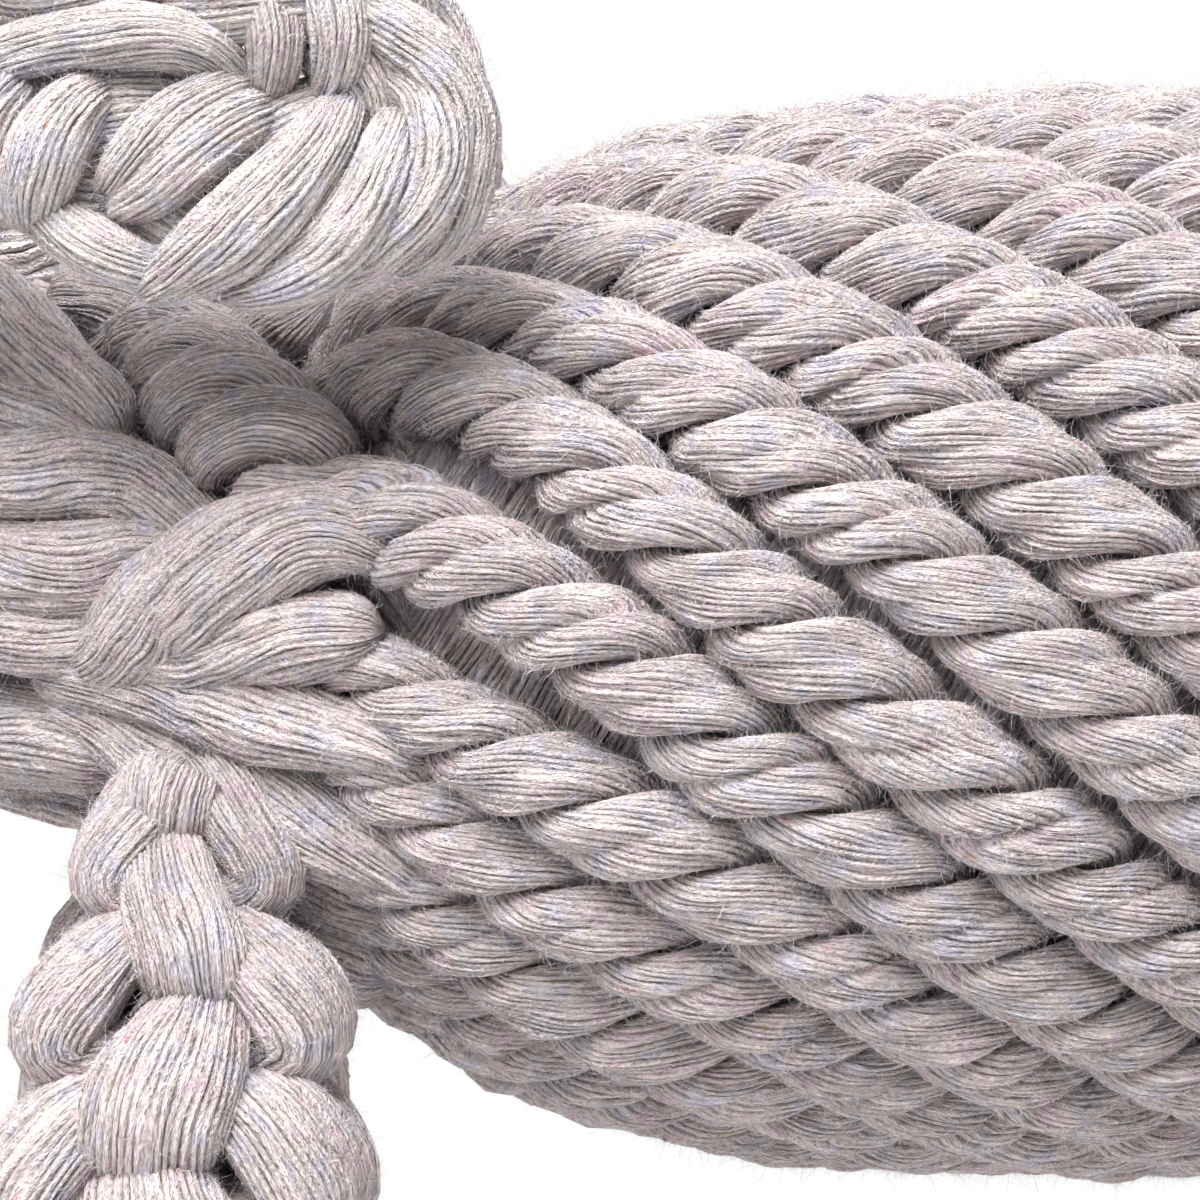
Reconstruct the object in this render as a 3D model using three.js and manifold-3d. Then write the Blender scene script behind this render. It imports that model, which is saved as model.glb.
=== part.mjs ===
// A rope animal for a dog to chew: a barrel body under twenty laid ropes, a neck of thick
// cotton strands, a plaited head with two looped ears, four plaited legs and a plaited tail.
// Millimetres, +Z up. The animal faces -X, its left side faces -Y, and it stands on Z = 0.

import * as THREE from 'three';
import { mergeVertices } from 'three/addons/utils/BufferGeometryUtils.js';
import Module from 'manifold-3d';

const wasm = await Module();
wasm.setup();

// Clearances and fineness
const seatGap = 0.4;
const slopeStep = 0.01;
const shortestEdge = 0.12;
const needleHeight = 0.06;
const tidyRounds = 12;
const cordSides = 8;
const roundSides = 16;

// Body barrel: its outer skin is a blunt barrel turned about the X axis
const bodyLength = 150;
const bodyRadius = 40.5;
const widestShare = 0.55;
const barrelPower = 2.7;
const coreSides = 32;
const coreSteps = 12;
const crownSteps = 8;

// Ropes laid along the barrel, all winding the same way
const ropeCount = 20;
const ropeDiameter = 7.8;
const ropeRunShares = [0.15, 0.85];
const ropeSteps = 15;
const ropeSideGap = 0.8;
const twistAngle = -195;
const angleTakenAtShare = 0.343;
const leftRopeAngles = [55, 36, 18, -1, -18, -34, -50, -66];
const frontSwingAngles = [3, 4, 6, 10, -3, -10, -9, -9, -6, -3];
const swingRunShare = 0.2;
const gapSamples = 60;
const gapNeighbours = 2;

// Neck: a core that climbs towards the head, under thick unlaid strands
const shoulderDepth = 13;
const neckReach = 11;
const neckCoreRadius = 13;
const neckClimb = 0.35;
const neckFillet = 6;
const neckCoreSteps = 6;
const strandWidth = 10;
const strandThickness = 7.2;
const strandSeat = 0.6;
const strandGap = 0.5;
const strandLead = 2;
const strandSteps = 10;

// Head, a round plait over its own filling, with a tie and a cut end at the nose
const headLength = 60;
const headRadius = 25;
const noseWaistRadius = 8;
const noseEndLength = 7;
const noseEndRadius = 10.5;
const tieLength = 7;
const tieThickness = 2.6;
const noseFlareShare = 0.5;

// Ears, each one flat plait folded into a hairpin that lies back along the neck
const earRootBack = 18;
const earReach = 54;
const earLow = 30.5;
const earFold = 13.3;
const earHalfWidth = 6.8;
const earHalfThickness = 5;
const earOut = 35;
const earSteps = 28;
const earPivotIn = 4;
const earPivotOut = 20;
const earFlapAngle = 35;

// Legs, square plaits that leave the body low on its sides
const legHalfWidth = 14.2;
const legHalfDepth = 11.5;
const hipInset = 9.5;
const hipBelowAxis = 9;
const hipOut = 20;
const footOut = 31;
const standHeight = 95;
const footHeight = 10;
const footWaistRadius = 9;
const footEndRadius = 13;
const footFlareShare = 0.35;
const footLean = 1;
const rightFrontLead = 5;
const legSwingAngle = 12;
const sweepSteps = 4;
const envelopeSteps = 40;
const envelopeReach = 0.8;

// Tail and the plaited crown that closes the rump
const crownOverhang = 2;
const crownEndRadius = 9;
const tailRadius = 8;
const tailReach = 31;
const tailRise = 33;
const tailWaistRadius = 6;
const tailTuftLength = 18;
const tailTuftRadius = 9;
const tailFlareShare = 0.33;
const tailSteps = 10;

// Finishes
const cottonGrey = new THREE.MeshStandardMaterial({ color: 0xc2b9ba, roughness: 0.95, metalness: 0 });
const coreGrey = new THREE.MeshStandardMaterial({ color: 0x857a80, roughness: 0.97, metalness: 0 });
const tuftGrey = new THREE.MeshStandardMaterial({ color: 0xcfc6c5, roughness: 0.96, metalness: 0 });

// Places that follow from the sizes above
const frontX = -bodyLength / 2;
const rearX = bodyLength / 2;
const widestX = frontX + widestShare * bodyLength;
const ropeStartX = frontX + ropeRunShares[0] * bodyLength;
const ropeEndX = frontX + ropeRunShares[1] * bodyLength;
const neckStartX = frontX + shoulderDepth;
const neckEndX = frontX - neckReach;
const radians = THREE.MathUtils.degToRad;
const toy = new THREE.Group();
const pivots = [];

function notePivot(name, pivot) {
  pivots.push([name, pivot]);
}

function addPiece(name, geometry, material = cottonGrey) {
  geometry.computeVertexNormals();
  const piece = new THREE.Mesh(geometry, material.clone());
  piece.name = name;
  toy.add(piece);
}

// Closed skin through rings of points, with a fan of triangles over each end
function loft(rings) {
  const sides = rings[0].length;
  const points = rings.flat();
  const faces = [];
  for (let r = 0; r < rings.length - 1; r++) {
    for (let s = 0; s < sides; s++) {
      const a = r * sides + s;
      const b = r * sides + ((s + 1) % sides);
      faces.push(a, b, b + sides, a, b + sides, a + sides);
    }
  }
  const ends = [[rings[0], 0], [rings[rings.length - 1], (rings.length - 1) * sides]];
  for (const [ring, first] of ends) {
    const middle = ring.reduce((sum, p) => sum.add(p), new THREE.Vector3()).divideScalar(sides);
    const tip = points.push(middle) - 1;
    for (let s = 0; s < sides; s++) {
      const here = first + s;
      const next = first + ((s + 1) % sides);
      if (first === 0) faces.push(tip, next, here);
      else faces.push(tip, here, next);
    }
  }
  const geometry = new THREE.BufferGeometry().setFromPoints(points);
  geometry.setIndex(faces);
  return geometry;
}

// One oval ring about a place on a route; out is the direction of its thickness
function ovalRing(centre, along, out, halfWidth, halfThickness, sides = cordSides) {
  const normal = out.clone().addScaledVector(along, -out.dot(along)).normalize();
  const across = new THREE.Vector3().crossVectors(normal, along);
  return Array.from({ length: sides }, (_, s) => {
    const turn = (2 * Math.PI * s) / sides;
    return centre.clone()
      .addScaledVector(across, halfWidth * Math.cos(turn))
      .addScaledVector(normal, halfThickness * Math.sin(turn));
  });
}

// Reads a table of shares at any place, on a smooth curve through its rows; the first column
// is the place
function readTable(rows, place) {
  let row = 0;
  while (row < rows.length - 2 && place > rows[row + 1][0]) row++;
  const [low, high] = [rows[row], rows[row + 1]];
  const span = high[0] - low[0];
  const part = THREE.MathUtils.clamp((place - low[0]) / span, 0, 1);
  const rest = 1 - part;
  const riseAt = (r, i) => {
    const [before, after] = [rows[Math.max(r - 1, 0)], rows[Math.min(r + 1, rows.length - 1)]];
    return ((after[i] - before[i]) / (after[0] - before[0])) * span;
  };
  return low.map((value, i) => rest * rest * (1 + 2 * part) * value
    + part * part * (1 + 2 * rest) * high[i]
    + part * rest * (rest * riseAt(row, i) - part * riseAt(row + 1, i)));
}

function toSolid(geometry) {
  const bare = geometry.clone();
  bare.deleteAttribute('normal');
  bare.deleteAttribute('uv');
  const merged = mergeVertices(bare);
  return new wasm.Manifold(new wasm.Mesh({
    numProp: 3,
    vertProperties: new Float32Array(merged.attributes.position.array),
    triVerts: new Uint32Array(merged.index.array),
  }));
}

// Sides and height of one triangle; its height stands on its longest side
function measure(points, face) {
  const sides = face.map((corner, i) => points[corner].distanceTo(points[face[(i + 1) % 3]]));
  const longest = Math.max(...sides);
  const [a, b, c] = face.map((corner) => points[corner]);
  const doubleArea = b.clone().sub(a).cross(c.clone().sub(a)).length();
  return { sides, longest, height: doubleArea / longest };
}

// Draws the ends of the shortest side together, unless that would pinch the skin
function dropShortSide(points, faces) {
  const near = points.map(() => new Set());
  for (const face of faces) face.forEach((corner, i) => near[corner].add(face[(i + 1) % 3]));
  let best = null;
  for (const face of faces) {
    measure(points, face).sides.forEach((length, i) => {
      const [keep, drop] = [face[i], face[(i + 1) % 3]];
      const shared = [...near[keep]].filter((corner) => near[drop].has(corner)).length;
      if (length < (best?.length ?? shortestEdge) && shared === 2) best = { length, keep, drop };
    });
  }
  if (!best) return null;
  return faces
    .map((face) => face.map((corner) => (corner === best.drop ? best.keep : corner)))
    .filter((face) => new Set(face).size === 3);
}

// Lays the longest side of the thinnest needle the other way across its two triangles
function turnNeedle(points, faces) {
  const owner = new Map();
  faces.forEach((face, f) => {
    face.forEach((corner, i) => owner.set(`${corner} ${face[(i + 1) % 3]}`, f));
  });
  let best = null;
  faces.forEach((face, f) => {
    const { sides, longest, height } = measure(points, face);
    if (height > (best?.height ?? needleHeight)) return;
    const i = sides.indexOf(longest);
    const [a, b, apex] = [face[i], face[(i + 1) % 3], face[(i + 2) % 3]];
    const g = owner.get(`${b} ${a}`);
    const far = faces[g].find((corner) => corner !== a && corner !== b);
    if (owner.has(`${apex} ${far}`) || owner.has(`${far} ${apex}`)) return;
    const pair = [[a, far, apex], [far, b, apex]];
    const least = Math.min(...pair.map((one) => measure(points, one).height));
    if (least > height) best = { height, f, g, pair };
  });
  if (!best) return null;
  return faces.map((face, f) => (f === best.f ? best.pair[0] : f === best.g ? best.pair[1] : face));
}

// The largest body of a solid, without the slivers that cutting leaves along its edges
function largestBody(solid) {
  const bodies = solid.decompose();
  bodies.sort((a, b) => b.volume() - a.volume());
  const { vertProperties: numbers, triVerts } = bodies[0].getMesh();
  const points = [];
  for (let i = 0; i < numbers.length; i += 3) points.push(new THREE.Vector3().fromArray(numbers, i));
  let faces = [];
  for (let i = 0; i < triVerts.length; i += 3) faces.push([...triVerts.slice(i, i + 3)]);
  for (let round = 0; round < tidyRounds; round++) {
    const before = faces;
    for (let next = faces; next; next = dropShortSide(points, faces)) faces = next;
    for (let next = faces; next; next = turnNeedle(points, faces)) faces = next;
    if (faces === before) break;
  }
  const geometry = new THREE.BufferGeometry().setFromPoints(points);
  geometry.setIndex(faces.flat());
  return mergeVertices(geometry);
}

// What is left of a solid once the cutters are taken away; tidying it can set a crumb free
function cutBy(solid, cutters) {
  const left = cutters.reduce((rest, cutter) => rest.subtract(cutter), solid);
  return largestBody(toSolid(largestBody(left)));
}

// A cutter held still while its neighbour turns: the same cut, made at steps of the turn
function sweptAbout(geometry, pivot, axis, angles) {
  return angles.map((angle) => {
    const swung = geometry.clone();
    swung.translate(-pivot.x, -pivot.y, -pivot.z);
    swung.applyMatrix4(new THREE.Matrix4().makeRotationAxis(axis, -radians(angle)));
    swung.translate(pivot.x, pivot.y, pivot.z);
    return toSolid(swung);
  });
}

function steps(from, to, count) {
  return Array.from({ length: count + 1 }, (_, i) => from + ((to - from) * i) / count);
}

// The barrel that the ropes' outer sides touch, and the slope of its outline
function barrelRadius(x) {
  const reach = x < widestX ? widestX - frontX : rearX - widestX;
  const share = Math.min(Math.abs(x - widestX) / reach, 1);
  return bodyRadius * Math.sqrt(1 - share ** barrelPower);
}

function barrelSlope(x) {
  const reach = slopeStep * ropeDiameter;
  return Math.atan((barrelRadius(x + reach) - barrelRadius(x - reach)) / (2 * reach));
}

function coreRadius(x) {
  return barrelRadius(x) - (ropeDiameter + seatGap) / Math.cos(barrelSlope(x));
}

// A solid turned about the X axis from pairs of place and radius
function turned(outline, sides = roundSides) {
  const profile = outline.map(([x, r]) => new THREE.Vector2(r, x));
  const geometry = new THREE.LatheGeometry(profile, sides);
  geometry.deleteAttribute('normal');
  geometry.deleteAttribute('uv');
  geometry.rotateZ(-Math.PI / 2);
  const merged = mergeVertices(geometry);
  const corners = [...merged.index.array];
  const faces = steps(0, corners.length / 3 - 1, corners.length / 3 - 1)
    .map((f) => corners.slice(3 * f, 3 * f + 3));
  merged.setIndex(faces.filter((face) => new Set(face).size === 3).flat());
  return merged;
}

function makeBodyCore() {
  const outline = [[neckStartX, 0]];
  for (const x of steps(neckStartX, ropeEndX, coreSteps)) outline.push([x, coreRadius(x)]);
  outline.push([ropeEndX, 0]);
  addPiece('body_core', turned(outline, coreSides), coreGrey);
}

// Angle of each rope round the barrel: the left side as it lies, the rest shared evenly
function ropeAngle(number, x) {
  const shown = leftRopeAngles.length;
  const last = leftRopeAngles[shown - 1];
  const hiddenStep = (360 - (leftRopeAngles[0] - last)) / (ropeCount - shown + 1);
  const base = number < shown ? leftRopeAngles[number] : last - (number - shown + 1) * hiddenStep;
  const takenAt = frontX + angleTakenAtShare * bodyLength;
  const swing = frontSwingAngles[number] ?? 0;
  const swingPart = THREE.MathUtils.smoothstep(takenAt - x, 0, swingRunShare * bodyLength);
  return base + (twistAngle * (x - takenAt)) / bodyLength + swing * swingPart;
}

// Half width, half thickness and helix angle of a rope where it crosses one place
function ropeSection(number, x) {
  const slope = barrelSlope(x);
  const middle = coreRadius(x) + (seatGap + ropeDiameter / 2) / Math.cos(slope);
  const reach = slopeStep * ropeDiameter;
  const turn = radians(ropeAngle(number, x + reach) - ropeAngle(number, x - reach)) / (2 * reach);
  const lean = Math.atan(Math.abs(turn) * middle * Math.cos(slope));
  const spans = [1, ropeCount - 1].map((ahead) => {
    const other = (number + ahead) % ropeCount;
    const apart = Math.abs(ropeAngle(number, x) - ropeAngle(other, x)) % 360;
    return radians(Math.min(apart, 360 - apart)) * middle * Math.cos(lean) - ropeSideGap;
  });
  const halfWidth = Math.min(ropeDiameter, ...spans) / 2;
  const radius = coreRadius(x) + (seatGap + halfWidth) / Math.cos(slope);
  return { halfWidth, slope, lean, radius };
}

function ropeRing(number, x, sides) {
  const { halfWidth, slope, lean, radius } = ropeSection(number, x);
  return Array.from({ length: sides }, (_, s) => {
    const turn = (2 * Math.PI * s) / sides;
    const aside = (halfWidth * Math.cos(turn)) / (Math.cos(lean) * radius);
    const around = radians(ropeAngle(number, x)) + aside;
    const out = radius + (halfWidth * Math.sin(turn)) / Math.cos(slope);
    return new THREE.Vector3(x, -out * Math.cos(around), out * Math.sin(around));
  });
}

function ropeName(number) {
  return `body_rope_${String(number + 1).padStart(2, '0')}`;
}

function makeBodyRopes() {
  for (let number = 0; number < ropeCount; number++) {
    const places = steps(ropeStartX, ropeEndX, ropeSteps);
    addPiece(ropeName(number), loft(places.map((x) => ropeRing(number, x, cordSides))));
  }
}

// The least gap between neighbouring ropes, measured on points of their skins
function leastRopeGap() {
  const places = steps(ropeStartX, ropeEndX, gapSamples);
  const skins = steps(0, ropeCount - 1, ropeCount - 1)
    .map((number) => places.map((x) => ropeRing(number, x, roundSides)));
  let least = Infinity;
  for (let number = 0; number < ropeCount; number++) {
    const mine = skins[number];
    const theirs = skins[(number + 1) % ropeCount];
    for (let i = 0; i < mine.length; i++) {
      for (const near of theirs.slice(Math.max(i - gapNeighbours, 0), i + gapNeighbours + 1)) {
        for (const p of mine[i]) {
          for (const q of near) least = Math.min(least, p.distanceTo(q));
        }
      }
    }
  }
  return least;
}

// Neck: how far its middle has climbed, and the surface that the strands lie on
function neckMiddle(x) {
  return x < neckStartX ? (neckStartX - x) * neckClimb : 0;
}

function neckHull(x) {
  const under = Math.max(coreRadius(x), 0);
  return (under + neckCoreRadius + Math.hypot(under - neckCoreRadius, neckFillet)) / 2;
}

function neckSlope(x) {
  const reach = slopeStep * ropeDiameter;
  return Math.atan((neckHull(x + reach) - neckHull(x - reach)) / (2 * reach));
}

function sliceRing(x, z, halfWidth, halfHeight, sides = roundSides) {
  return ovalRing(new THREE.Vector3(x, 0, z), new THREE.Vector3(1, 0, 0), new THREE.Vector3(0, 0, 1),
    halfWidth, halfHeight, sides);
}

function makeNeckCore() {
  const places = steps(neckEndX, neckStartX - seatGap, neckCoreSteps);
  const rings = places.map((x) => sliceRing(x, neckMiddle(x), neckHull(x), neckHull(x)));
  addPiece('neck_core', loft(rings), coreGrey);
}

// Strands of the neck, the uppermost first. Each row of a route: share of the way from the
// ropes to the head, angle round the neck, lift as a share of the thickness, share of width.
const neckStrands = [
  { name: 'neck_strand_top', widthShare: 1.5, routeShares: [
    [0.04, 84, 0.08, 1], [0.14, 88, 0.08, 0.9], [0.27, 90, 0.1, 0.8]] },
  { name: 'neck_strand_left_over', widthShare: 0.97, routeShares: [
    [0.04, 22, 0.1, 0.7], [0.162, 20, 0.5, 1], [0.328, 12, 0.65, 1], [0.474, 1, 0.55, 0.9],
    [0.565, -5, 0.4, 0.6]] },
  { name: 'neck_strand_left_laid', widthShare: 1.1, mirrorName: 'neck_strand_right_laid', routeShares: [
    [0.04, 30, 0, 0.7], [0.183, 42, 0.2, 1], [0.266, 54, 0.3, 1], [0.37, 66, 0.3, 1],
    [0.584, 84, 0.2, 0.8]] },
  { name: 'neck_strand_left_side', widthShare: 1.25, mirrorName: 'neck_strand_right_side', routeShares: [
    [0.2, 26, 0, 0.5], [0.37, 26, 0, 0.85], [0.575, 18, 0, 1], [0.86, 7, 0, 1], [0.95, 6, 0, 1]] },
  { name: 'neck_strand_left_upper', widthShare: 1.04, mirrorName: 'neck_strand_right_upper', routeShares: [
    [0.45, 38, 0, 0.6], [0.533, 42, 0, 0.8], [0.658, 53, 0, 1], [0.783, 64, 0, 1], [0.93, 70, 0, 1]] },
  { name: 'neck_strand_left_fan', widthShare: 1.35, routeShares: [
    [0.04, -5, 0, 1], [0.162, -6, 0, 1], [0.37, -11, 0, 1], [0.57, -22, 0, 0.7]] },
  { name: 'neck_strand_left_lower', widthShare: 0.9, mirrorName: 'neck_strand_right_lower', routeShares: [
    [0.04, -34, 0, 1], [0.162, -32.5, 0, 1], [0.37, -35, 0, 0.95], [0.56, -40, 0, 0.7]] },
  { name: 'neck_strand_left_belly', widthShare: 1.2, mirrorName: 'neck_strand_right_belly', routeShares: [
    [0.04, -62, 0, 1], [0.162, -64, 0, 1], [0.37, -68, 0, 0.9], [0.6, -72, 0, 0.7]] },
  { name: 'neck_strand_left_tucked', widthShare: 0.65, routeShares: [
    [0.62, -16, 0, 0.7], [0.69, -19, 0, 1], [0.86, -25, 0, 1], [0.95, -26, 0, 1]] },
  { name: 'neck_strand_left_under', widthShare: 1.3, mirrorName: 'neck_strand_right_under', routeShares: [
    [0.57, -54, 0, 0.7], [0.66, -58, 0, 1], [0.8, -62, 0, 1], [0.95, -65, 0, 1]] },
];

function strandPoint(row, mirrored) {
  const [along, angle, lift] = row;
  const x = ropeStartX - seatGap + along * (neckEndX - ropeStartX + seatGap);
  const around = radians(mirrored ? 180 - angle : angle);
  const away = new THREE.Vector3(0, -Math.cos(around), Math.sin(around));
  const slope = neckSlope(x);
  const out = away.clone().multiplyScalar(Math.cos(slope));
  out.x = -Math.sin(slope);
  const centre = new THREE.Vector3(x, 0, neckMiddle(x)).addScaledVector(away, neckHull(x));
  centre.addScaledVector(out, strandSeat + strandThickness * (0.5 + lift));
  return { centre, out };
}

// Built a little larger all round, with an end piece at each end, to cut the strands below it
function strandShape(strand, mirrored, grown = 0) {
  const rows = strand.routeShares;
  const places = steps(rows[0][0], rows[rows.length - 1][0], strandSteps);
  const rings = places.map((place, i) => {
    const row = readTable(rows, place);
    const before = strandPoint(readTable(rows, places[Math.max(i - 1, 0)]), mirrored).centre;
    const after = strandPoint(readTable(rows, places[Math.min(i + 1, strandSteps)]), mirrored).centre;
    const { centre, out } = strandPoint(row, mirrored);
    const along = after.clone().sub(before).normalize();
    const halfWidth = (strandWidth * strand.widthShare * row[3]) / 2 + grown;
    const ringAt = (ahead) => ovalRing(centre.clone().addScaledVector(along, ahead), along, out,
      halfWidth, strandThickness / 2 + grown);
    if (grown === 0) return [ringAt(0)];
    if (i === 0) return [ringAt(-grown), ringAt(0)];
    if (i === strandSteps) return [ringAt(0), ringAt(grown)];
    return [ringAt(0)];
  });
  return loft(rings.flat());
}

// The two cores, a little larger all round
function grownCores() {
  const outline = steps(neckStartX, ropeEndX, coreSteps).map((x) => [x, coreRadius(x) + seatGap]);
  const body = turned([[neckStartX, 0], ...outline, [ropeEndX, 0]], coreSides);
  const places = steps(neckEndX - seatGap, neckStartX, neckCoreSteps);
  const neck = loft(places.map((x) => {
    const radius = neckHull(x) + seatGap;
    return sliceRing(x, neckMiddle(x), radius, radius);
  }));
  return [toSolid(body), toSolid(neck)];
}

function makeNeckStrands() {
  const above = grownCores();
  for (const mirrored of [false, true]) {
    for (const strand of neckStrands) {
      const name = mirrored ? strand.mirrorName : strand.name;
      if (!name) continue;
      addPiece(name, cutBy(toSolid(strandShape(strand, mirrored)), above));
      above.push(toSolid(strandShape(strand, mirrored, strandGap)));
    }
  }
}

// Everything that the legs lie against, as one shape that is a little too large
function bodyEnvelope() {
  const places = steps(neckEndX, rearX + crownOverhang + seatGap, envelopeSteps);
  return loft(places.map((x) => {
    const skin = neckHull(x + strandLead) + (strandSeat + strandThickness) / Math.cos(neckSlope(x));
    const strands = x < ropeStartX ? skin : 0;
    const barrel = Math.max(barrelRadius(x - envelopeReach), barrelRadius(x + seatGap));
    const radius = Math.max(barrel, strands, crownEndRadius) + seatGap;
    return sliceRing(x, neckMiddle(x), radius, radius, coreSides);
  }));
}

// Legs. Rows: share of the way down, then shares of the half width, half depth and way out.
const legShares = [
  [0, 0.36, 0.45, 0],
  [0.12, 0.62, 0.64, 0.22],
  [0.26, 0.86, 0.86, 0.45],
  [0.42, 1, 1, 0.66],
  [0.6, 1, 1, 0.83],
  [0.78, 0.98, 0.98, 0.95],
  [0.9, 0.86, 0.92, 1],
];
const legNames = { front: -1, hind: 1 };
const sideNames = { left: -1, right: 1 };

function legPlace(end, side) {
  const inset = hipInset * -legNames[end];
  const lead = end === 'front' && side === 'right' ? -rightFrontLead : 0;
  const hipX = legNames[end] * rearX + inset + lead;
  return { hipX, footX: hipX + legNames[end] * footLean, out: sideNames[side] };
}

function levelRing(x, y, z, halfWidth, halfDepth) {
  return ovalRing(new THREE.Vector3(x, y, z), new THREE.Vector3(0, 0, -1), new THREE.Vector3(0, 1, 0),
    halfWidth, halfDepth, roundSides);
}

function makeLeg(end, side, envelope) {
  const { hipX, footX, out } = legPlace(end, side);
  const hipZ = -hipBelowAxis;
  const waistZ = footHeight + seatGap - standHeight;
  const tieTopZ = waistZ + tieLength;
  const rings = legShares.map(([down, width, depth, way]) => levelRing(
    THREE.MathUtils.lerp(hipX, footX, down),
    out * THREE.MathUtils.lerp(hipOut, footOut, way),
    THREE.MathUtils.lerp(hipZ, tieTopZ, down),
    legHalfWidth * width,
    legHalfDepth * depth,
  ));
  const footY = out * footOut;
  rings.push(levelRing(footX, footY, tieTopZ + seatGap, footWaistRadius, footWaistRadius));
  rings.push(levelRing(footX, footY, waistZ, footWaistRadius, footWaistRadius));
  const pivot = new THREE.Vector3(hipX, out * hipOut, hipZ);
  const swings = steps(-legSwingAngle, legSwingAngle, sweepSteps);
  const cutters = sweptAbout(envelope, pivot, new THREE.Vector3(0, 1, 0), swings);
  const name = `${end}_${side}`;
  addPiece(`${name}_leg_plait`, cutBy(toSolid(loft(rings)), cutters));
  addPiece(`${name}_foot_tie`, tieRing(footWaistRadius).rotateY(Math.PI / 2)
    .translate(footX, footY, (tieTopZ + waistZ) / 2));
  const tuftZ = waistZ - seatGap;
  addPiece(`${name}_foot_tuft`, loft([
    levelRing(footX, footY, tuftZ, footWaistRadius, footWaistRadius),
    levelRing(footX, footY, tuftZ - footHeight * footFlareShare, footEndRadius, footEndRadius),
    levelRing(footX, footY, -standHeight, footEndRadius, footEndRadius),
  ]), tuftGrey);
  notePivot(`${name}_leg`, pivot);
}

// A tie round a waist: a ring with a round outside, along the X axis
function tieRing(waist) {
  const inner = waist + seatGap;
  const half = tieLength / 2 - seatGap / 2;
  const bulgeShares = [[-1, 0.3], [-0.6, 0.86], [0.6, 0.86], [1, 0.3]];
  const rim = bulgeShares.map(([along, rise]) => [along * half, inner + tieThickness * rise]);
  return turned([[-half, inner], ...rim, [half, inner], [-half, inner]]);
}

// Head. Rows: share of the way to the nose, then shares of the radius for the middle's
// height, the half width and the half height.
const headShares = [
  [0, 0.34, 0.54, 0.56],
  [0.07, 0.48, 0.72, 0.76],
  [0.19, 0.72, 0.88, 0.94],
  [0.34, 0.88, 0.96, 1.02],
  [0.48, 0.86, 0.9, 0.94],
  [0.59, 0.68, 0.76, 0.76],
  [0.7, 0.54, 0.66, 0.62],
  [0.84, 0.46, 0.62, 0.58],
  [0.94, 0.42, 0.54, 0.52],
  [1, 0.4, 0.42, 0.42],
];
const headStartX = neckEndX - seatGap;
const noseWaistX = headStartX - headLength;
const noseMiddle = headRadius * headShares[headShares.length - 1][1];

function headRing(x, z, halfWidth, halfHeight) {
  return ovalRing(new THREE.Vector3(x, 0, z), new THREE.Vector3(-1, 0, 0), new THREE.Vector3(0, 0, 1),
    halfWidth, halfHeight, roundSides);
}

function headShape(grown = 0) {
  return headShares.map(([along, middle, width, height]) => headRing(
    headStartX - along * headLength,
    headRadius * middle,
    headRadius * width + grown,
    headRadius * height + grown,
  ));
}

function makeHead() {
  const waistEndX = noseWaistX - tieLength - seatGap;
  const waist = [noseWaistX - seatGap, waistEndX]
    .map((x) => headRing(x, noseMiddle, noseWaistRadius, noseWaistRadius));
  addPiece('head_plait', loft([...headShape(), ...waist]));
  addPiece('nose_tie', tieRing(noseWaistRadius)
    .translate((noseWaistX - seatGap + waistEndX) / 2, 0, noseMiddle));
  const tip = waistEndX - seatGap;
  addPiece('nose_end', loft([
    headRing(tip, noseMiddle, noseWaistRadius, noseWaistRadius),
    headRing(tip - noseEndLength * noseFlareShare, noseMiddle, noseEndRadius, noseEndRadius),
    headRing(tip - noseEndLength, noseMiddle, noseEndRadius, noseEndRadius),
  ]), tuftGrey);
}

// Ears. Rows: shares of the reach, of the way out and of the fold's height, share of width.
const earShares = [
  [0, 0.43, -0.19, 0.8],
  [0.11, 0.63, 0.04, 0.85],
  [0.295, 0.81, 0.26, 0.95],
  [0.498, 0.94, 0.28, 1],
  [0.683, 0.985, 0.09, 1],
  [0.867, 1, 0, 1],
  [0.954, 1, 0.143, 0.9],
  [0.99, 1, 0.5, 0.88],
  [0.954, 1, 0.85, 0.84],
  [0.867, 1, 1, 0.8],
  [0.683, 0.985, 1.15, 0.82],
  [0.498, 0.94, 1.3, 0.86],
  [0.295, 0.81, 1.32, 0.86],
  [0.11, 0.63, 1.1, 0.8],
  [-0.037, 0.4, 0.8, 0.7],
];

function makeEar(side) {
  const out = sideNames[side];
  const rootX = neckEndX - earRootBack;
  const places = earShares.map(([reach, way, fold]) => new THREE.Vector3(
    rootX + reach * earReach, out * way * earOut, earLow + fold * earFold));
  const route = new THREE.CatmullRomCurve3(places);
  const widths = earShares.map((row, i) => [i / (earShares.length - 1), row[3]]);
  const rings = steps(0, 1, earSteps).map((t) => ovalRing(
    route.getPoint(t),
    route.getTangent(t),
    new THREE.Vector3(0, out, 0),
    earHalfWidth * readTable(widths, t)[1],
    earHalfThickness,
  ));
  const pivot = new THREE.Vector3(rootX + earPivotIn, out * earPivotOut, earLow);
  const flaps = steps(0, earFlapAngle, sweepSteps);
  const cutters = sweptAbout(loft(headShape(seatGap)), pivot, new THREE.Vector3(0, 0, out), flaps);
  addPiece(`ear_${side}`, cutBy(toSolid(loft(rings)), cutters));
  notePivot(`ear_${side}`, pivot);
}

function makeCrown() {
  const outline = [[ropeEndX + seatGap, 0]];
  for (const x of steps(ropeEndX + seatGap, rearX, crownSteps)) {
    outline.push([x, Math.max(barrelRadius(x), crownEndRadius)]);
  }
  outline.push([rearX + crownOverhang, crownEndRadius], [rearX + crownOverhang, 0]);
  addPiece('rump_crown', turned(outline, coreSides));
}

// Tail: a round root, so that it can wag, then a rising plait with its tie and its tuft
const tailShares = [[0, 0], [0.26, 0], [0.5, 0.12], [0.77, 0.4], [0.93, 0.75], [1, 1]];

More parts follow.
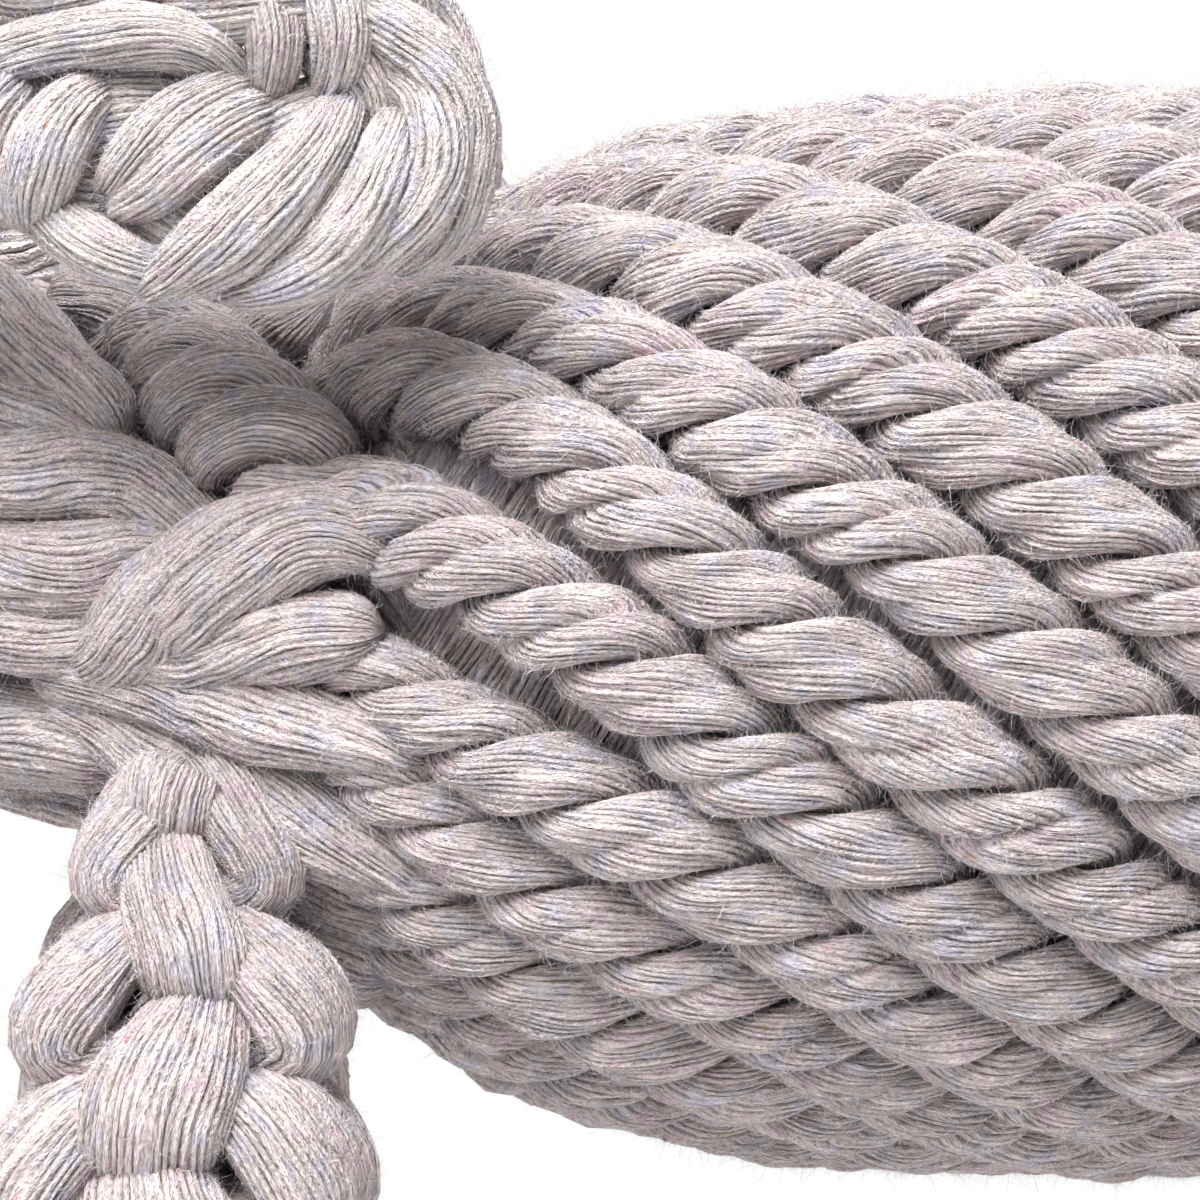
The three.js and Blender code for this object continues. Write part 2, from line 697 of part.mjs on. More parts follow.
function makeTail() {
  const startX = rearX + crownOverhang + seatGap;
  const places = tailShares.map(([reach, rise]) => new THREE.Vector3(
    startX + reach * tailReach, 0, rise * tailRise));
  const route = new THREE.CatmullRomCurve3(places);
  const side = new THREE.Vector3(0, 1, 0);
  const rootShares = [0.04, 0.3, 0.6, 1];
  const rings = rootShares.map((part) => {
    const rest = 1 - part;
    const radius = tailRadius * Math.sqrt(1 - rest * rest);
    const centre = new THREE.Vector3(startX + part * tailRadius, 0, 0);
    return ovalRing(centre, new THREE.Vector3(1, 0, 0), side, radius, radius, roundSides);
  });
  const rootEnd = tailShares[1][0];
  for (const t of steps(rootEnd, 1, tailSteps).slice(1)) {
    const [place, way] = [route.getPointAt(t), route.getTangentAt(t)];
    rings.push(ovalRing(place, way, side, tailRadius, tailRadius, roundSides));
  }
  const end = route.getPointAt(1);
  const along = route.getTangentAt(1);
  const ringAt = (distance, radius) => ovalRing(
    end.clone().addScaledVector(along, distance), along, side, radius, radius, roundSides);
  const waistEnd = seatGap + tieLength;
  rings.push(ringAt(seatGap, tailWaistRadius), ringAt(waistEnd, tailWaistRadius));
  addPiece('tail_plait', loft(rings));
  const towards = new THREE.Quaternion().setFromUnitVectors(new THREE.Vector3(1, 0, 0), along);
  const tieMiddle = end.clone().addScaledVector(along, seatGap + tieLength / 2);
  addPiece('tail_tie', tieRing(tailWaistRadius).applyQuaternion(towards)
    .translate(tieMiddle.x, tieMiddle.y, tieMiddle.z));
  const tuftStart = waistEnd + seatGap;
  addPiece('tail_tuft', loft([
    ringAt(tuftStart, tailWaistRadius),
    ringAt(tuftStart + tailTuftLength * tailFlareShare, tailTuftRadius),
    ringAt(tuftStart + tailTuftLength, tailTuftRadius),
  ]), tuftGrey);
  notePivot('tail', new THREE.Vector3(startX + tailRadius, 0, 0));
}

makeBodyCore();
makeBodyRopes();
makeNeckCore();
makeNeckStrands();
makeHead();
makeCrown();
makeTail();
const envelope = bodyEnvelope();
for (const side of Object.keys(sideNames)) {
  makeEar(side);
  for (const end of Object.keys(legNames)) makeLeg(end, side, envelope);
}
notePivot('head', new THREE.Vector3(neckEndX, 0, neckMiddle(neckEndX)));

// The origin goes under the middle of the whole toy, on the surface that it stands on
const box = new THREE.Box3().setFromObject(toy);
const middle = box.getCenter(new THREE.Vector3());
toy.position.set(-middle.x, -middle.y, -box.min.z);
for (const [name, pivot] of pivots) {
  const placed = pivot.clone().add(toy.position);
  console.log(`${name} turns about ${placed.toArray().map((v) => v.toFixed(2)).join(' ')}`);
}
console.log(`body axis: x shift ${toy.position.x.toFixed(2)}, height ${toy.position.z.toFixed(2)} mm`);
console.log(`least gap between ropes: ${leastRopeGap().toFixed(2)} mm`);

export default toy;
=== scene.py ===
# %% [markdown]
# # A rope toy for a dog
# The toy is an animal about 285 mm long, made of nothing but cotton: laid ropes over a hard
# cotton core, thick loose strands round the neck, and plaits for the head, ears, legs and tail.
# Everything is in metres in the end, but a maker thinks in millimetres, so the shapes are worked
# out in millimetres from the middle line of the body and moved into place once, at the end.

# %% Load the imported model
import math
import bpy
import numpy as np
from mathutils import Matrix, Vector


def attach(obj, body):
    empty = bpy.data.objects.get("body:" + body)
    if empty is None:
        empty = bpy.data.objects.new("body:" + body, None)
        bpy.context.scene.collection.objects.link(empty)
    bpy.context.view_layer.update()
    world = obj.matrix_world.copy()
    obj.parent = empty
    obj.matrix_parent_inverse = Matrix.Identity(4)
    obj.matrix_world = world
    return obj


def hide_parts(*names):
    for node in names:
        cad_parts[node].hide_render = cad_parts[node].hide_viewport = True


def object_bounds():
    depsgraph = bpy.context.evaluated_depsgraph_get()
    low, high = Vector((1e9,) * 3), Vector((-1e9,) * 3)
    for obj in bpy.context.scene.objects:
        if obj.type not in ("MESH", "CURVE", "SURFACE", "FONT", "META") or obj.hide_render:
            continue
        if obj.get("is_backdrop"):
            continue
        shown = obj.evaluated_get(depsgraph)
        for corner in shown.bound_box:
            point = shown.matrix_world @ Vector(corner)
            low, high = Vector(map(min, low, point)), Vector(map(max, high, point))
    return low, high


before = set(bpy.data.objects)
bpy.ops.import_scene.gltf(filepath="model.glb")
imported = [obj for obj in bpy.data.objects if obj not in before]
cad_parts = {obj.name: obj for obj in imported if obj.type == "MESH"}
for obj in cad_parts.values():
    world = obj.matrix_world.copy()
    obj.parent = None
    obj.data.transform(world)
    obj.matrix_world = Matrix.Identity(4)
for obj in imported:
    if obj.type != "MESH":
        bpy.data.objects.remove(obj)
cad_low, cad_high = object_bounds()
BODY_LINE = np.array([18.77, 0.0, 95.0])


def placed(name, data, place=(0, 0, 0)):
    """An object of the scene, from a mesh, a lamp's data or a camera's."""
    thing = bpy.data.objects.new(name, data)
    thing.location = place
    bpy.context.collection.objects.link(thing)
    return thing

# %% [markdown]
# ## Camera
# The photograph is a close view of the left shoulder from straight ahead with a long lens. The
# camera looks along +Y at the height of the body's middle line.

# %% Camera
CAMERA_PLACE = (-0.01823, -0.300, 0.09763)
CAMERA_LENS = 119.8
FILM_WIDTH = 36

camera_data = bpy.data.cameras.new("photo_camera")
camera_data.lens = CAMERA_LENS
camera_data.sensor_width = FILM_WIDTH
camera_data.clip_start = 0.01
camera = placed("photo_camera", camera_data, CAMERA_PLACE)
camera.rotation_euler = (math.pi / 2, 0, 0)
bpy.context.scene.camera = camera
print("camera lens", CAMERA_LENS)

# %% [markdown]
# ## Small tools for lines
# A strand is a line with a direction that says which way its broad back faces. These helpers
# draw a smooth line through a few points, spread points evenly along it, and make random values
# that change slowly along a yarn, because hand-spun cotton is never even.

# %% Lines and slow random values
def unit(vectors):
    return vectors / np.maximum(np.linalg.norm(vectors, axis=-1, keepdims=True), 1e-9)


def lengths_along(line):
    return np.concatenate([[0], np.cumsum(np.linalg.norm(np.diff(line, axis=0), axis=1))])


def smooth_rows(rows, places):
    """Reads a table at any place on a smooth curve through its rows; column 0 is the place."""
    rows = np.asarray(rows, float)
    slopes = np.gradient(rows, rows[:, 0], axis=0)
    at = np.clip(np.searchsorted(rows[:, 0], places, side="right") - 1, 0, len(rows) - 2)
    span = rows[at + 1, 0] - rows[at, 0]
    part = np.clip((places - rows[at, 0]) / span, 0, 1)[:, None]
    rest = 1 - part
    return (
        rest**2 * (1 + 2 * part) * rows[at]
        + part**2 * (1 + 2 * rest) * rows[at + 1]
        + part * rest * span[:, None] * (rest * slopes[at] - part * slopes[at + 1])
    )


def smooth_line(points, count=240):
    """A curve through points, one row for each."""
    points = np.asarray(points, float)
    knots = np.arange(len(points), dtype=float)[:, None]
    table = np.hstack([knots, points])
    return smooth_rows(table, np.linspace(0, len(points) - 1, count))[:, 1:]


def evenly(line, step, *others):
    """The line, and what goes with it, at steps of its length; step may change along it."""
    length = lengths_along(line)
    pace = np.broadcast_to(1 / np.asarray(step, float), len(line))
    count = np.concatenate([[0], np.cumsum(np.diff(length) * (pace[1:] + pace[:-1]) / 2)])
    places = np.interp(np.linspace(0, count[-1], max(int(count[-1]), 4) + 1), count, length)
    read = [np.stack([np.interp(places, length, c) for c in np.asarray(o, float).T], 1)
            if np.ndim(o) == 2 else np.interp(places, length, o) for o in (line, *others)]
    return (places, *read)


def drift(rng, rows, places, knot):
    """Slowly changing random values: one row for each yarn, read at places along it."""
    knots = rng.normal(size=(rows, int(places[-1] / knot) + 3))
    low = np.floor(places / knot).astype(int)
    part = places / knot - low
    part = part * part * (3 - 2 * part)
    return knots[:, low] * (1 - part) + knots[:, low + 1] * part


print("line tools ready")

# %% [markdown]
# ## A bundle of yarns
# Every strand of this toy is a bundle of soft single yarns, about half a millimetre thick, side
# by side. It could be a smooth tube with a bump map, but close up each yarn stands up on its own
# and throws a shadow. So the skin of the bundle is real relief: three columns of points to each
# yarn, one in the valley and two on its back. The columns follow the yarns, which wander, rise
# and sink along their way, and now and then leave a deeper crease between two groups.

# %% Section and random swaying
YARN_PITCH = 0.45
COLUMNS = 3
YARN_BACK = np.array([0.0, 0.9, 0.9])
# How many mm of yarn pass before it wanders, rises, flattens or opens into a crease anew
WANDER_RUN, RISE_RUN, FLAT_RUN, CREASE_RUN, DENT_RUN = 2.6, 3.4, 1.9, 2.3, 11.0
RISE = 0.085
SWAY_GROUP, SWAY_RUN, SWAY = 6, 6.0, 0.55
LUMP_GROUP, LUMP_RUN = 7, 7.0


def oval(t):
    return np.cos(t), np.sin(t)


def section_table(section, wide, thick):
    """A closed section read by the share of its girth: place and way out at each share."""
    t = np.linspace(0, 2 * np.pi, 721)
    x, y = section(t)
    run = np.concatenate([[0], np.cumsum(np.hypot(np.diff(x * wide), np.diff(y * thick)))])
    out_x, out_y = np.gradient(y), -np.gradient(x)
    size = np.maximum(np.hypot(out_x, out_y), 1e-9)
    return t, run / run[-1], run[-1], x, y, out_x / size, out_y / size


def cap_ends(places, cap):
    """1 along a bundle, and falling to nearly 0 in a round end over the last cap mm."""
    near = np.minimum(places, places[-1] - places) / np.maximum(cap, 1e-6)
    return np.sqrt(np.clip(1 - (1 - np.clip(near, 0.0, 1)) ** 2, 0.02, 1))


def sway(rng, columns, places, group, knot):
    """Random values that change slowly along a bundle and from one group of yarns to the next."""
    groups = max(int(columns / COLUMNS / group), 3)
    rows = drift(rng, groups, places, knot)
    at = np.arange(columns) * groups / columns
    low = at.astype(int)
    part = (at - low)[:, None]
    part = part * part * (3 - 2 * part)
    return rows[low % groups] * (1 - part) + rows[(low + 1) % groups] * part


round_girth = section_table(oval, 1, 1)[2]
print("yarns round a bundle of 1 mm radius:", round(float(round_girth / YARN_PITCH)))

# %% Yarn bundle
def yarn_bundle(rng, line, out, half_wide, half_thick, pitch=YARN_PITCH, twist=0.0, step=0.8,
                relief=0.19, wander=0.3, crease=0.2, cap=1.5, lump=0.0, inner=None,
                section=oval, grooves=()):
    """A bundle of yarns along a line. twist is how many degrees the yarns lean from the line,
    lump an uneven swelling in mm, inner a line that the hidden side of the bundle faces, and
    grooves holds the place (in radians of the section), width and depth of long dents."""
    half_wide = np.broadcast_to(half_wide, len(line)).astype(float)
    half_thick = np.broadcast_to(half_thick, len(line)).astype(float)
    inner = line if inner is None else inner
    places, line, out, half_wide, half_thick, inner = evenly(
        line, step, out, half_wide, half_thick, inner)
    along = unit(np.gradient(line, axis=0))
    out = unit(out - along * (out * along).sum(1, keepdims=True))
    side = np.cross(along, out)
    t, share, girth, x, y, out_x, out_y = section_table(
        section, np.median(half_wide), np.median(half_thick))
    yarns = max(int(round(girth / pitch)), 5)
    columns = yarns * COLUMNS
    scale = pitch / YARN_PITCH
    back = np.tile(YARN_BACK, yarns)
    valley = np.arange(columns) % COLUMNS == 0
    wanders = np.tanh(drift(rng, yarns, places, WANDER_RUN)) * wander
    rises = drift(rng, yarns, places, RISE_RUN) * RISE * scale
    gains = np.clip(0.95 + 0.45 * drift(rng, yarns, places, FLAT_RUN), 0.25, 1.8)
    creases = np.clip(0.9 * drift(rng, yarns, places, CREASE_RUN) - 1.15, 0, 1.3)
    spread = [np.repeat(v, COLUMNS, axis=0) for v in (wanders, rises, gains, creases)]
    for v in spread[:2]:
        v[valley] = (v[valley] + np.roll(v, 1, axis=0)[valley]) / 2
    wanders, rises, gains, creases = spread
    near_crease = np.where(valley[:, None], creases, 0.3 * creases)
    waves = sway(rng, columns, places, SWAY_GROUP, SWAY_RUN) * SWAY
    shares = (np.arange(columns)[:, None] + COLUMNS * (wanders + waves)) / columns
    shares = (shares + (places * math.tan(math.radians(twist)) / girth)[None]) % 1
    angle = np.interp(shares, share, t).T
    x, y, out_x, out_y = (np.interp(shares, share, v).T for v in (x, y, out_x, out_y))
    ends = cap_ends(places, cap)
    wide, thick = half_wide * ends, half_thick * ends
    swell = sway(rng, columns, places, LUMP_GROUP, LUMP_RUN).T * lump
    height = (relief * scale * (back[:, None] - 1) * gains + rises - crease * near_crease).T
    for place, width, depth in grooves:
        place = place + 0.12 * drift(rng, 1, places, 9.0).T
        shift = (angle - place + np.pi) % (2 * np.pi) - np.pi
        depth = depth * np.clip(0.45 + 0.65 * drift(rng, 1, places, DENT_RUN).T, 0, 1.3)
        height = height - depth * np.exp(-((shift / width) ** 2))
    height = (height + swell) * ends[:, None]
    lean = unit(np.stack([out_x / np.maximum(half_wide, 0.1)[:, None],
                          out_y / np.maximum(half_thick, 0.1)[:, None]], -1))
    across = wide[:, None] * x + height * lean[..., 0]
    above = thick[:, None] * y + height * lean[..., 1]
    points = (line[:, None] + side[:, None] * across[..., None] + out[:, None] * above[..., None])
    normals = side[:, None] * lean[..., :1] + out[:, None] * lean[..., 1:]
    # How deep each point lies in a valley between yarns or in a crease; the finish paints shade by
    # it
    shade_depths = np.clip((1 - back[:, None]) * np.clip(gains, 0, 1) + 0.6 * near_crease, 0, 1).T
    return {"points": points, "normals": normals, "shade_depths": shade_depths, "along": along,
            "places": places, "inner": inner, "area": girth * places[-1]}


print("yarns of", YARN_PITCH, "mm")

# %% [markdown]
# ## From bundles to an object
# One piece of the toy, such as a rope with its two strands, is one object. Its map has the
# number of the yarn across and the millimetres along it up, so a finish can be drawn along the
# yarns whichever way they run. Each bundle starts further up the map than the last, or all would
# show the same streaks. How deep each point lies between the yarns is kept as well, and the finish
# paints shade into the colour by it.

# %% Make an object from bundles
BUNDLE_START = 211.0


def mesh_of(name, points, corners, starts):
    """A mesh from its points in mm, the corners of its faces, and where each face starts."""
    points = (points + BODY_LINE) / 1000
    mesh = bpy.data.meshes.new(name)
    mesh.vertices.add(len(points))
    mesh.loops.add(len(corners))
    mesh.polygons.add(len(starts))
    mesh.vertices.foreach_set("co", points.astype(np.float32).ravel())
    mesh.loops.foreach_set("vertex_index", corners.astype(np.int32))
    mesh.polygons.foreach_set("loop_start", starts.astype(np.int32))
    mesh.polygons.foreach_set("use_smooth", np.ones(len(starts), bool))
    mesh.update(calc_edges=True)
    return mesh


def bundle_mesh(name, bundles):
    """A closed skin for each bundle, with a tip at each end, in one mesh with its map."""
    points, corners, starts, spots, shade_depths = [], [], [], [], []
    first, loop = 0, 0
    for number, b in enumerate(bundles):
        rings, columns = b["points"].shape[:2]
        i, j = np.meshgrid(np.arange(rings - 1), np.arange(columns), indexing="ij")
        k = (j + 1) % columns
        quads = np.stack([i * columns + j, (i + 1) * columns + j,
                          (i + 1) * columns + k, i * columns + k], -1).reshape(-1, 4)
        u = np.stack([j, j, j + 1, j + 1], -1).reshape(-1, 4) / COLUMNS
        start = BUNDLE_START * number
        v = b["places"][np.stack([i, i + 1, i + 1, i], -1).reshape(-1, 4)] + start
        tips = np.stack([b["points"][0].mean(0), b["points"][-1].mean(0)])
        own = rings * columns
        j = np.arange(columns)
        k = (j + 1) % columns
        fans = np.concatenate([np.stack([np.full(columns, own), j, k], 1),
                               np.stack([np.full(columns, own + 1), own - columns + k,
                                         own - columns + j], 1)])
        fan_v = np.repeat([b["places"][0], b["places"][-1]], columns * 3) + start
        fan_u = np.concatenate([np.stack([j, j, j + 1], 1), np.stack([j, j + 1, j], 1)])
        points += [b["points"].reshape(-1, 3), tips]
        # The two tips get a middling depth, so some painted shade
        shade_depths += [b["shade_depths"].reshape(-1), [0.6, 0.6]]
        corners += [quads.reshape(-1) + first, fans.reshape(-1) + first]
        starts += [loop + 4 * np.arange(len(quads)),
                   loop + 4 * len(quads) + 3 * np.arange(len(fans))]
        spots += [np.stack([u.reshape(-1), v.reshape(-1)], 1),
                  np.stack([fan_u.reshape(-1) / COLUMNS, fan_v], 1)]
        first += own + 2
        loop += 4 * len(quads) + 3 * len(fans)
    mesh = mesh_of(name, *(np.concatenate(part) for part in (points, corners, starts)))
    spots = np.concatenate(spots).astype(np.float32)
    mesh.uv_layers.new(name="yarns").uv.foreach_set("vector", spots.ravel())
    # Depth between yarns, by which the finish paints shade into the colour
    shade_depth = mesh.attributes.new("shade_depth", "FLOAT", "POINT")
    shade_depth.data.foreach_set("value", np.concatenate(shade_depths).astype(np.float32))
    return mesh


# Fibres on a square mm: on the side near the camera, on the far side, and on tied ends
SIDE_FUZZ, END_FUZZ = {True: 11, False: 1}, 0.5
fuzz_roots = {}
faces_made = []
PICTURED_FROM, PICTURED_TO = -90, 9
FAR_FUZZ = 0.12


def make_piece(name, bundles, finish, body, nodes, fuzz=END_FUZZ):
    """One object from its bundles. fuzz is how many loose fibres grow on a square mm where the
    photo shows the toy; elsewhere there are far fewer."""
    piece = placed(name, bundle_mesh(name, bundles))
    piece.data.materials.append(finish)
    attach(piece, body)
    if nodes:
        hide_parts(*nodes)
    rng = np.random.default_rng(len(name) * 7919 + sum(map(ord, name)))
    for b in bundles:
        rings, columns = b["points"].shape[:2]
        ring = rng.integers(1, rings - 1, int(b["area"] * fuzz) + 1)
        column = rng.integers(0, columns, len(ring))
        place, normal = b["points"][ring, column], b["normals"][ring, column]
        shown = (unit(place - b["inner"][ring]) * normal).sum(1) > 0.3
        pictured = (place[:, 0] < PICTURED_TO) & (place[:, 0] > PICTURED_FROM)
        pictured &= (normal[:, 1] < 0.35) & (place[:, 1] < 10)
        shown &= pictured | (rng.random(len(ring)) < FAR_FUZZ)
        fuzz_roots.setdefault(body, []).append(
            np.hstack([place, normal, b["along"][ring]])[shown])
    faces_made.append(len(piece.data.polygons))
    return piece


print("object maker ready")

# %% [markdown]
# ## Finish
# The cotton is spun from mixed textile waste: pale grey with a warm cast, every yarn a little
# lighter or darker than the next, streaked along its length, with a few coloured fibres left
# from old clothes. Four layers of short fibres that lie across one another make the felt of a
# yarn. The dip between two yarns, the creases and the tips of bundles get painted shade on top of
# the real relief's shadow: the colour is darkened there in dashes, broken where fibres bridge the
# dip. All of it is drawn on the map of the yarns, and only the felt is left to a bump.

# %% Node tools
def make_group(name, inputs, outputs):
    group = bpy.data.node_groups.new(name, "ShaderNodeTree")
    for label, kind, value in inputs:
        socket = group.interface.new_socket(label, in_out="INPUT", socket_type=kind)
        socket.default_value = value
    for label, kind in outputs:
        group.interface.new_socket(label, in_out="OUTPUT", socket_type=kind)
    return group, group.nodes.new("NodeGroupInput"), group.nodes.new("NodeGroupOutput")


def wire(tree, kind, settings=None, **inputs):
    """A node with its settings and its inputs, each a number or another node's output."""
    node = tree.nodes.new(kind)
    for key, value in (settings or {}).items():
        setattr(node, key, value)
    for key, value in inputs.items():
        socket = node.inputs[int(key[1:])] if key[1:].isdigit() else node.inputs[key]
        if isinstance(value, bpy.types.NodeSocket):
            tree.links.new(value, socket)
        else:
            socket.default_value = value
    return node


def empty_finish(name):
    """A finish without nodes, and its tree."""
    finish = bpy.data.materials.new(name)
    finish.use_nodes = True
    finish.node_tree.nodes.clear()
    return finish, finish.node_tree


def shown_by(tree, shader, output="ShaderNodeOutputMaterial"):
    tree.links.new(shader.outputs[0], wire(tree, output).inputs[0])


def sums(tree, operation, a, b=0.0, clamp=False):
    return wire(tree, "ShaderNodeMath", {"operation": operation, "use_clamp": clamp},
                i0=a, i1=b).outputs[0]


def mixed(tree, share, a, b, blend="MIX"):
    node = wire(tree, "ShaderNodeMix", {"data_type": "RGBA", "blend_type": blend},
                i0=share, i6=a, i7=b)
    return node.outputs[2]


def yarn_map(tree):
    """The number of the yarn, the millimetres along it, and the two stretched as a vector."""
    spot = wire(tree, "ShaderNodeUVMap", {"uv_map": "yarns"}).outputs[0]
    parts = wire(tree, "ShaderNodeSeparateXYZ", i0=spot)
    return spot, parts.outputs[0], parts.outputs[1]


def stretched(tree, spot, across, along, aside=0.0):
    moved = wire(tree, "ShaderNodeMapping", {"vector_type": "POINT"}, i0=spot)
    moved.inputs[1].default_value = (aside, aside, 0)
    moved.inputs[3].default_value = (across, along, 1)
    return moved.outputs[0]


def noise(tree, vector, scale=1.0, detail=2.0, dimensions="3D"):
    return wire(tree, "ShaderNodeTexNoise", {"noise_dimensions": dimensions},
                Vector=vector, Scale=scale, Detail=detail).outputs[0]


def ramp(tree, value, stops, interpolation="LINEAR"):
    node = wire(tree, "ShaderNodeValToRGB", i0=value)
    node.color_ramp.interpolation = interpolation
    while len(node.color_ramp.elements) < len(stops):
        node.color_ramp.elements.new(0.5)
    for element, (place, colour) in zip(node.color_ramp.elements, stops):
        element.position = place
        element.color = (*colour, 1)
    return node.outputs[0]


print("node tools ready")

# %% Cotton colour
FLECK_COLOURS = [(0.0, (0.05, 0.18, 0.5)), (0.2, (0.7, 0.2, 0.06)), (0.38, (0.06, 0.24, 0.55)),
                 (0.5, (0.66, 0.14, 0.26)), (0.64, (0.8, 0.6, 0.14)), (0.78, (0.1, 0.38, 0.22)),
                 (0.9, (0.06, 0.32, 0.4))]
FLECK_CHANCE, FLECK_STRENGTH = 0.06, 0.42
TINTS = [(0.3, (0.95, 0.96, 1.07)), (0.44, (1, 1, 1)), (0.53, (1.05, 1.01, 0.92)),
         (0.64, (1.07, 0.95, 0.99))]
# How each layer of fibres lies on the yarn: turn, width in yarns, length in mm, weight
FIBRE_LAYERS = [(0.0, 0.22, 1.1, 0.95), (0.6, 0.19, 0.7, 0.95), (-0.65, 0.19, 0.65, 0.95),
                (1.3, 0.2, 0.4, 0.8)]


def lying_fibres(tree, spot, turn, wide, long, shift):
    """Streaks of felt that lie across the yarn at an angle."""
    moved = wire(tree, "ShaderNodeMapping", {"vector_type": "TEXTURE"}, i0=spot)
    moved.inputs[1].default_value = (shift, shift, 0)
    moved.inputs[2].default_value = (0, 0, turn)
    moved.inputs[3].default_value = (wide, long, 1)
    return noise(tree, moved.outputs[0], 1.0, 1.5, "2D")


def weighted(tree, start, *parts):
    """start and, for each value and weight, how far the value is from a half, weighted."""
    total = start
    for value, weight in parts:
        part = wire(tree, "ShaderNodeMath", {"operation": "MULTIPLY_ADD"},
                    i0=value, i1=weight, i2=-weight / 2).outputs[0]
        total = sums(tree, "ADD", total, part)
    return total


def cotton_group():
    tree, given, made = make_group(
        "cotton",
        [("Light", "NodeSocketColor", (0.7, 0.64, 0.65, 1)),
         ("Dark", "NodeSocketColor", (0.4, 0.36, 0.375, 1)),
         ("Valley", "NodeSocketFloat", 0.32), ("Flecks", "NodeSocketFloat", 0.5),
         ("Ridges", "NodeSocketFloat", 1.0)],
        [("Colour", "NodeSocketColor"), ("Height", "NodeSocketFloat")])
    spot, across, along = yarn_map(tree)
    place = wire(tree, "ShaderNodeTexCoord").outputs["Object"]
    own = wire(tree, "ShaderNodeObjectInfo").outputs["Random"]
    number = sums(tree, "FLOOR", across)
    pair = wire(tree, "ShaderNodeCombineXYZ", i0=number, i1=sums(tree, "MULTIPLY", own, 97.0))
    yarn = wire(tree, "ShaderNodeTexWhiteNoise", {"noise_dimensions": "2D"},
                Vector=pair.outputs[0]).outputs[0]
    layers = [(lying_fibres(tree, spot, turn, wide, long, 7.3 * k + 3.1), weight)
              for k, (turn, wide, long, weight) in enumerate(FIBRE_LAYERS)]
    felt = weighted(tree, 0.5, *layers)
    streaks = noise(tree, stretched(tree, spot, 0.9, 0.16), 1.0, 2.0, "2D")
    patches = noise(tree, place, 240.0, 2.0)
    tone = weighted(tree, felt, (streaks, 0.65), (yarn, 0.3), (patches, 0.3))
    colour = mixed(tree, sums(tree, "ADD", tone, 0.06, clamp=True), given.outputs["Dark"],
                   given.outputs["Light"])
    tint = ramp(tree, noise(tree, place, 420.0, 3.0), TINTS)
    colour = mixed(tree, 1.0, colour, tint, "MULTIPLY")
    cells = wire(tree, "ShaderNodeTexVoronoi", {"feature": "F1", "voronoi_dimensions": "2D"},
                 Vector=stretched(tree, spot, 0.8, 0.42, 1.3), Scale=1.0, Randomness=1.0)
    chance = wire(tree, "ShaderNodeSeparateColor", i0=cells.outputs["Color"])
    thin = sums(tree, "LESS_THAN", cells.outputs["Distance"], 0.16)
    rare = sums(tree, "GREATER_THAN", chance.outputs[0],
                sums(tree, "SUBTRACT", 1.0,
                     sums(tree, "MULTIPLY", given.outputs["Flecks"], FLECK_CHANCE)))
    hue = ramp(tree, chance.outputs[1], FLECK_COLOURS, "CONSTANT")
    fleck = sums(tree, "MULTIPLY", sums(tree, "MULTIPLY", thin, rare), FLECK_STRENGTH)
    colour = mixed(tree, fleck, colour, hue)
    # Painted shade: the colour is darkened in dashes where a point lies deep between yarns, in a
    # crease or at a tip; Valley is the share of colour the deepest dip keeps
    shade_depth = wire(tree, "ShaderNodeAttribute", {"attribute_name": "shade_depth"}).outputs["Fac"]
    dash = wire(tree, "ShaderNodeMapRange", Value=noise(
        tree, stretched(tree, spot, 0.7, 0.4, 5.7), 1.0, 1.0, "2D"),
        i1=0.38, i2=0.54, i3=0.4, i4=1.0).outputs[0]
    deep = sums(tree, "MULTIPLY", sums(tree, "MULTIPLY", shade_depth, dash, clamp=True),
                sums(tree, "SUBTRACT", 1.0, given.outputs["Valley"]))
    lit = sums(tree, "SUBTRACT", 1.0, deep)
    shade = wire(tree, "ShaderNodeCombineColor", i0=lit, i1=lit, i2=lit)
    colour = mixed(tree, 1.0, colour, shade.outputs[0], "MULTIPLY")
    waves = sums(tree, "MULTIPLY", across,
                 sums(tree, "MULTIPLY", given.outputs["Ridges"], math.pi))
    ridges = sums(tree, "POWER", sums(tree, "ABSOLUTE", sums(tree, "SINE", waves)), 0.6)
    height = sums(tree, "ADD", sums(tree, "MULTIPLY", ridges, 0.45), felt)
    tree.links.new(colour, made.inputs["Colour"])
    tree.links.new(height, made.inputs["Height"])
    return tree


cotton = cotton_group()
print("nodes in the cotton group:", len(cotton.nodes))

# %% [markdown]
# Ropes, loose strands, the inner layer, ties and cut ends are the same cotton in other shades:
# the cut ends show more of the clean inside of the yarn, and the inner layer is painted darker as
# shade for the deep gaps it lies in. Pieces that face away from the camera have ridges of two
# yarns each, drawn by the bump.

# %% Finishes
# valley is the share of colour left where the painted shade between yarns is deepest
def cotton_finish(name, light, dark, valley=0.25, flecks=0.5, ridges=1.0, depth=0.00022):
    finish, tree = empty_finish(name)
    made = wire(tree, "ShaderNodeGroup", {"node_tree": cotton}, Light=(*light, 1),
                Dark=(*dark, 1), Valley=valley, Flecks=flecks, Ridges=ridges)
    bump = wire(tree, "ShaderNodeBump", Strength=1.0, Distance=depth, Height=made.outputs[1])
    shader = wire(tree, "ShaderNodeBsdfPrincipled", Roughness=0.95,
                  Normal=bump.outputs[0], **{"Base Color": made.outputs[0],
                                             "Specular IOR Level": 0.1})
    shown_by(tree, shader)
    return finish


ROPE_LIGHT, ROPE_DARK = (0.94, 0.865, 0.885), (0.47, 0.412, 0.437)
STRAND_LIGHT, STRAND_DARK = (0.92, 0.845, 0.865), (0.45, 0.395, 0.42)
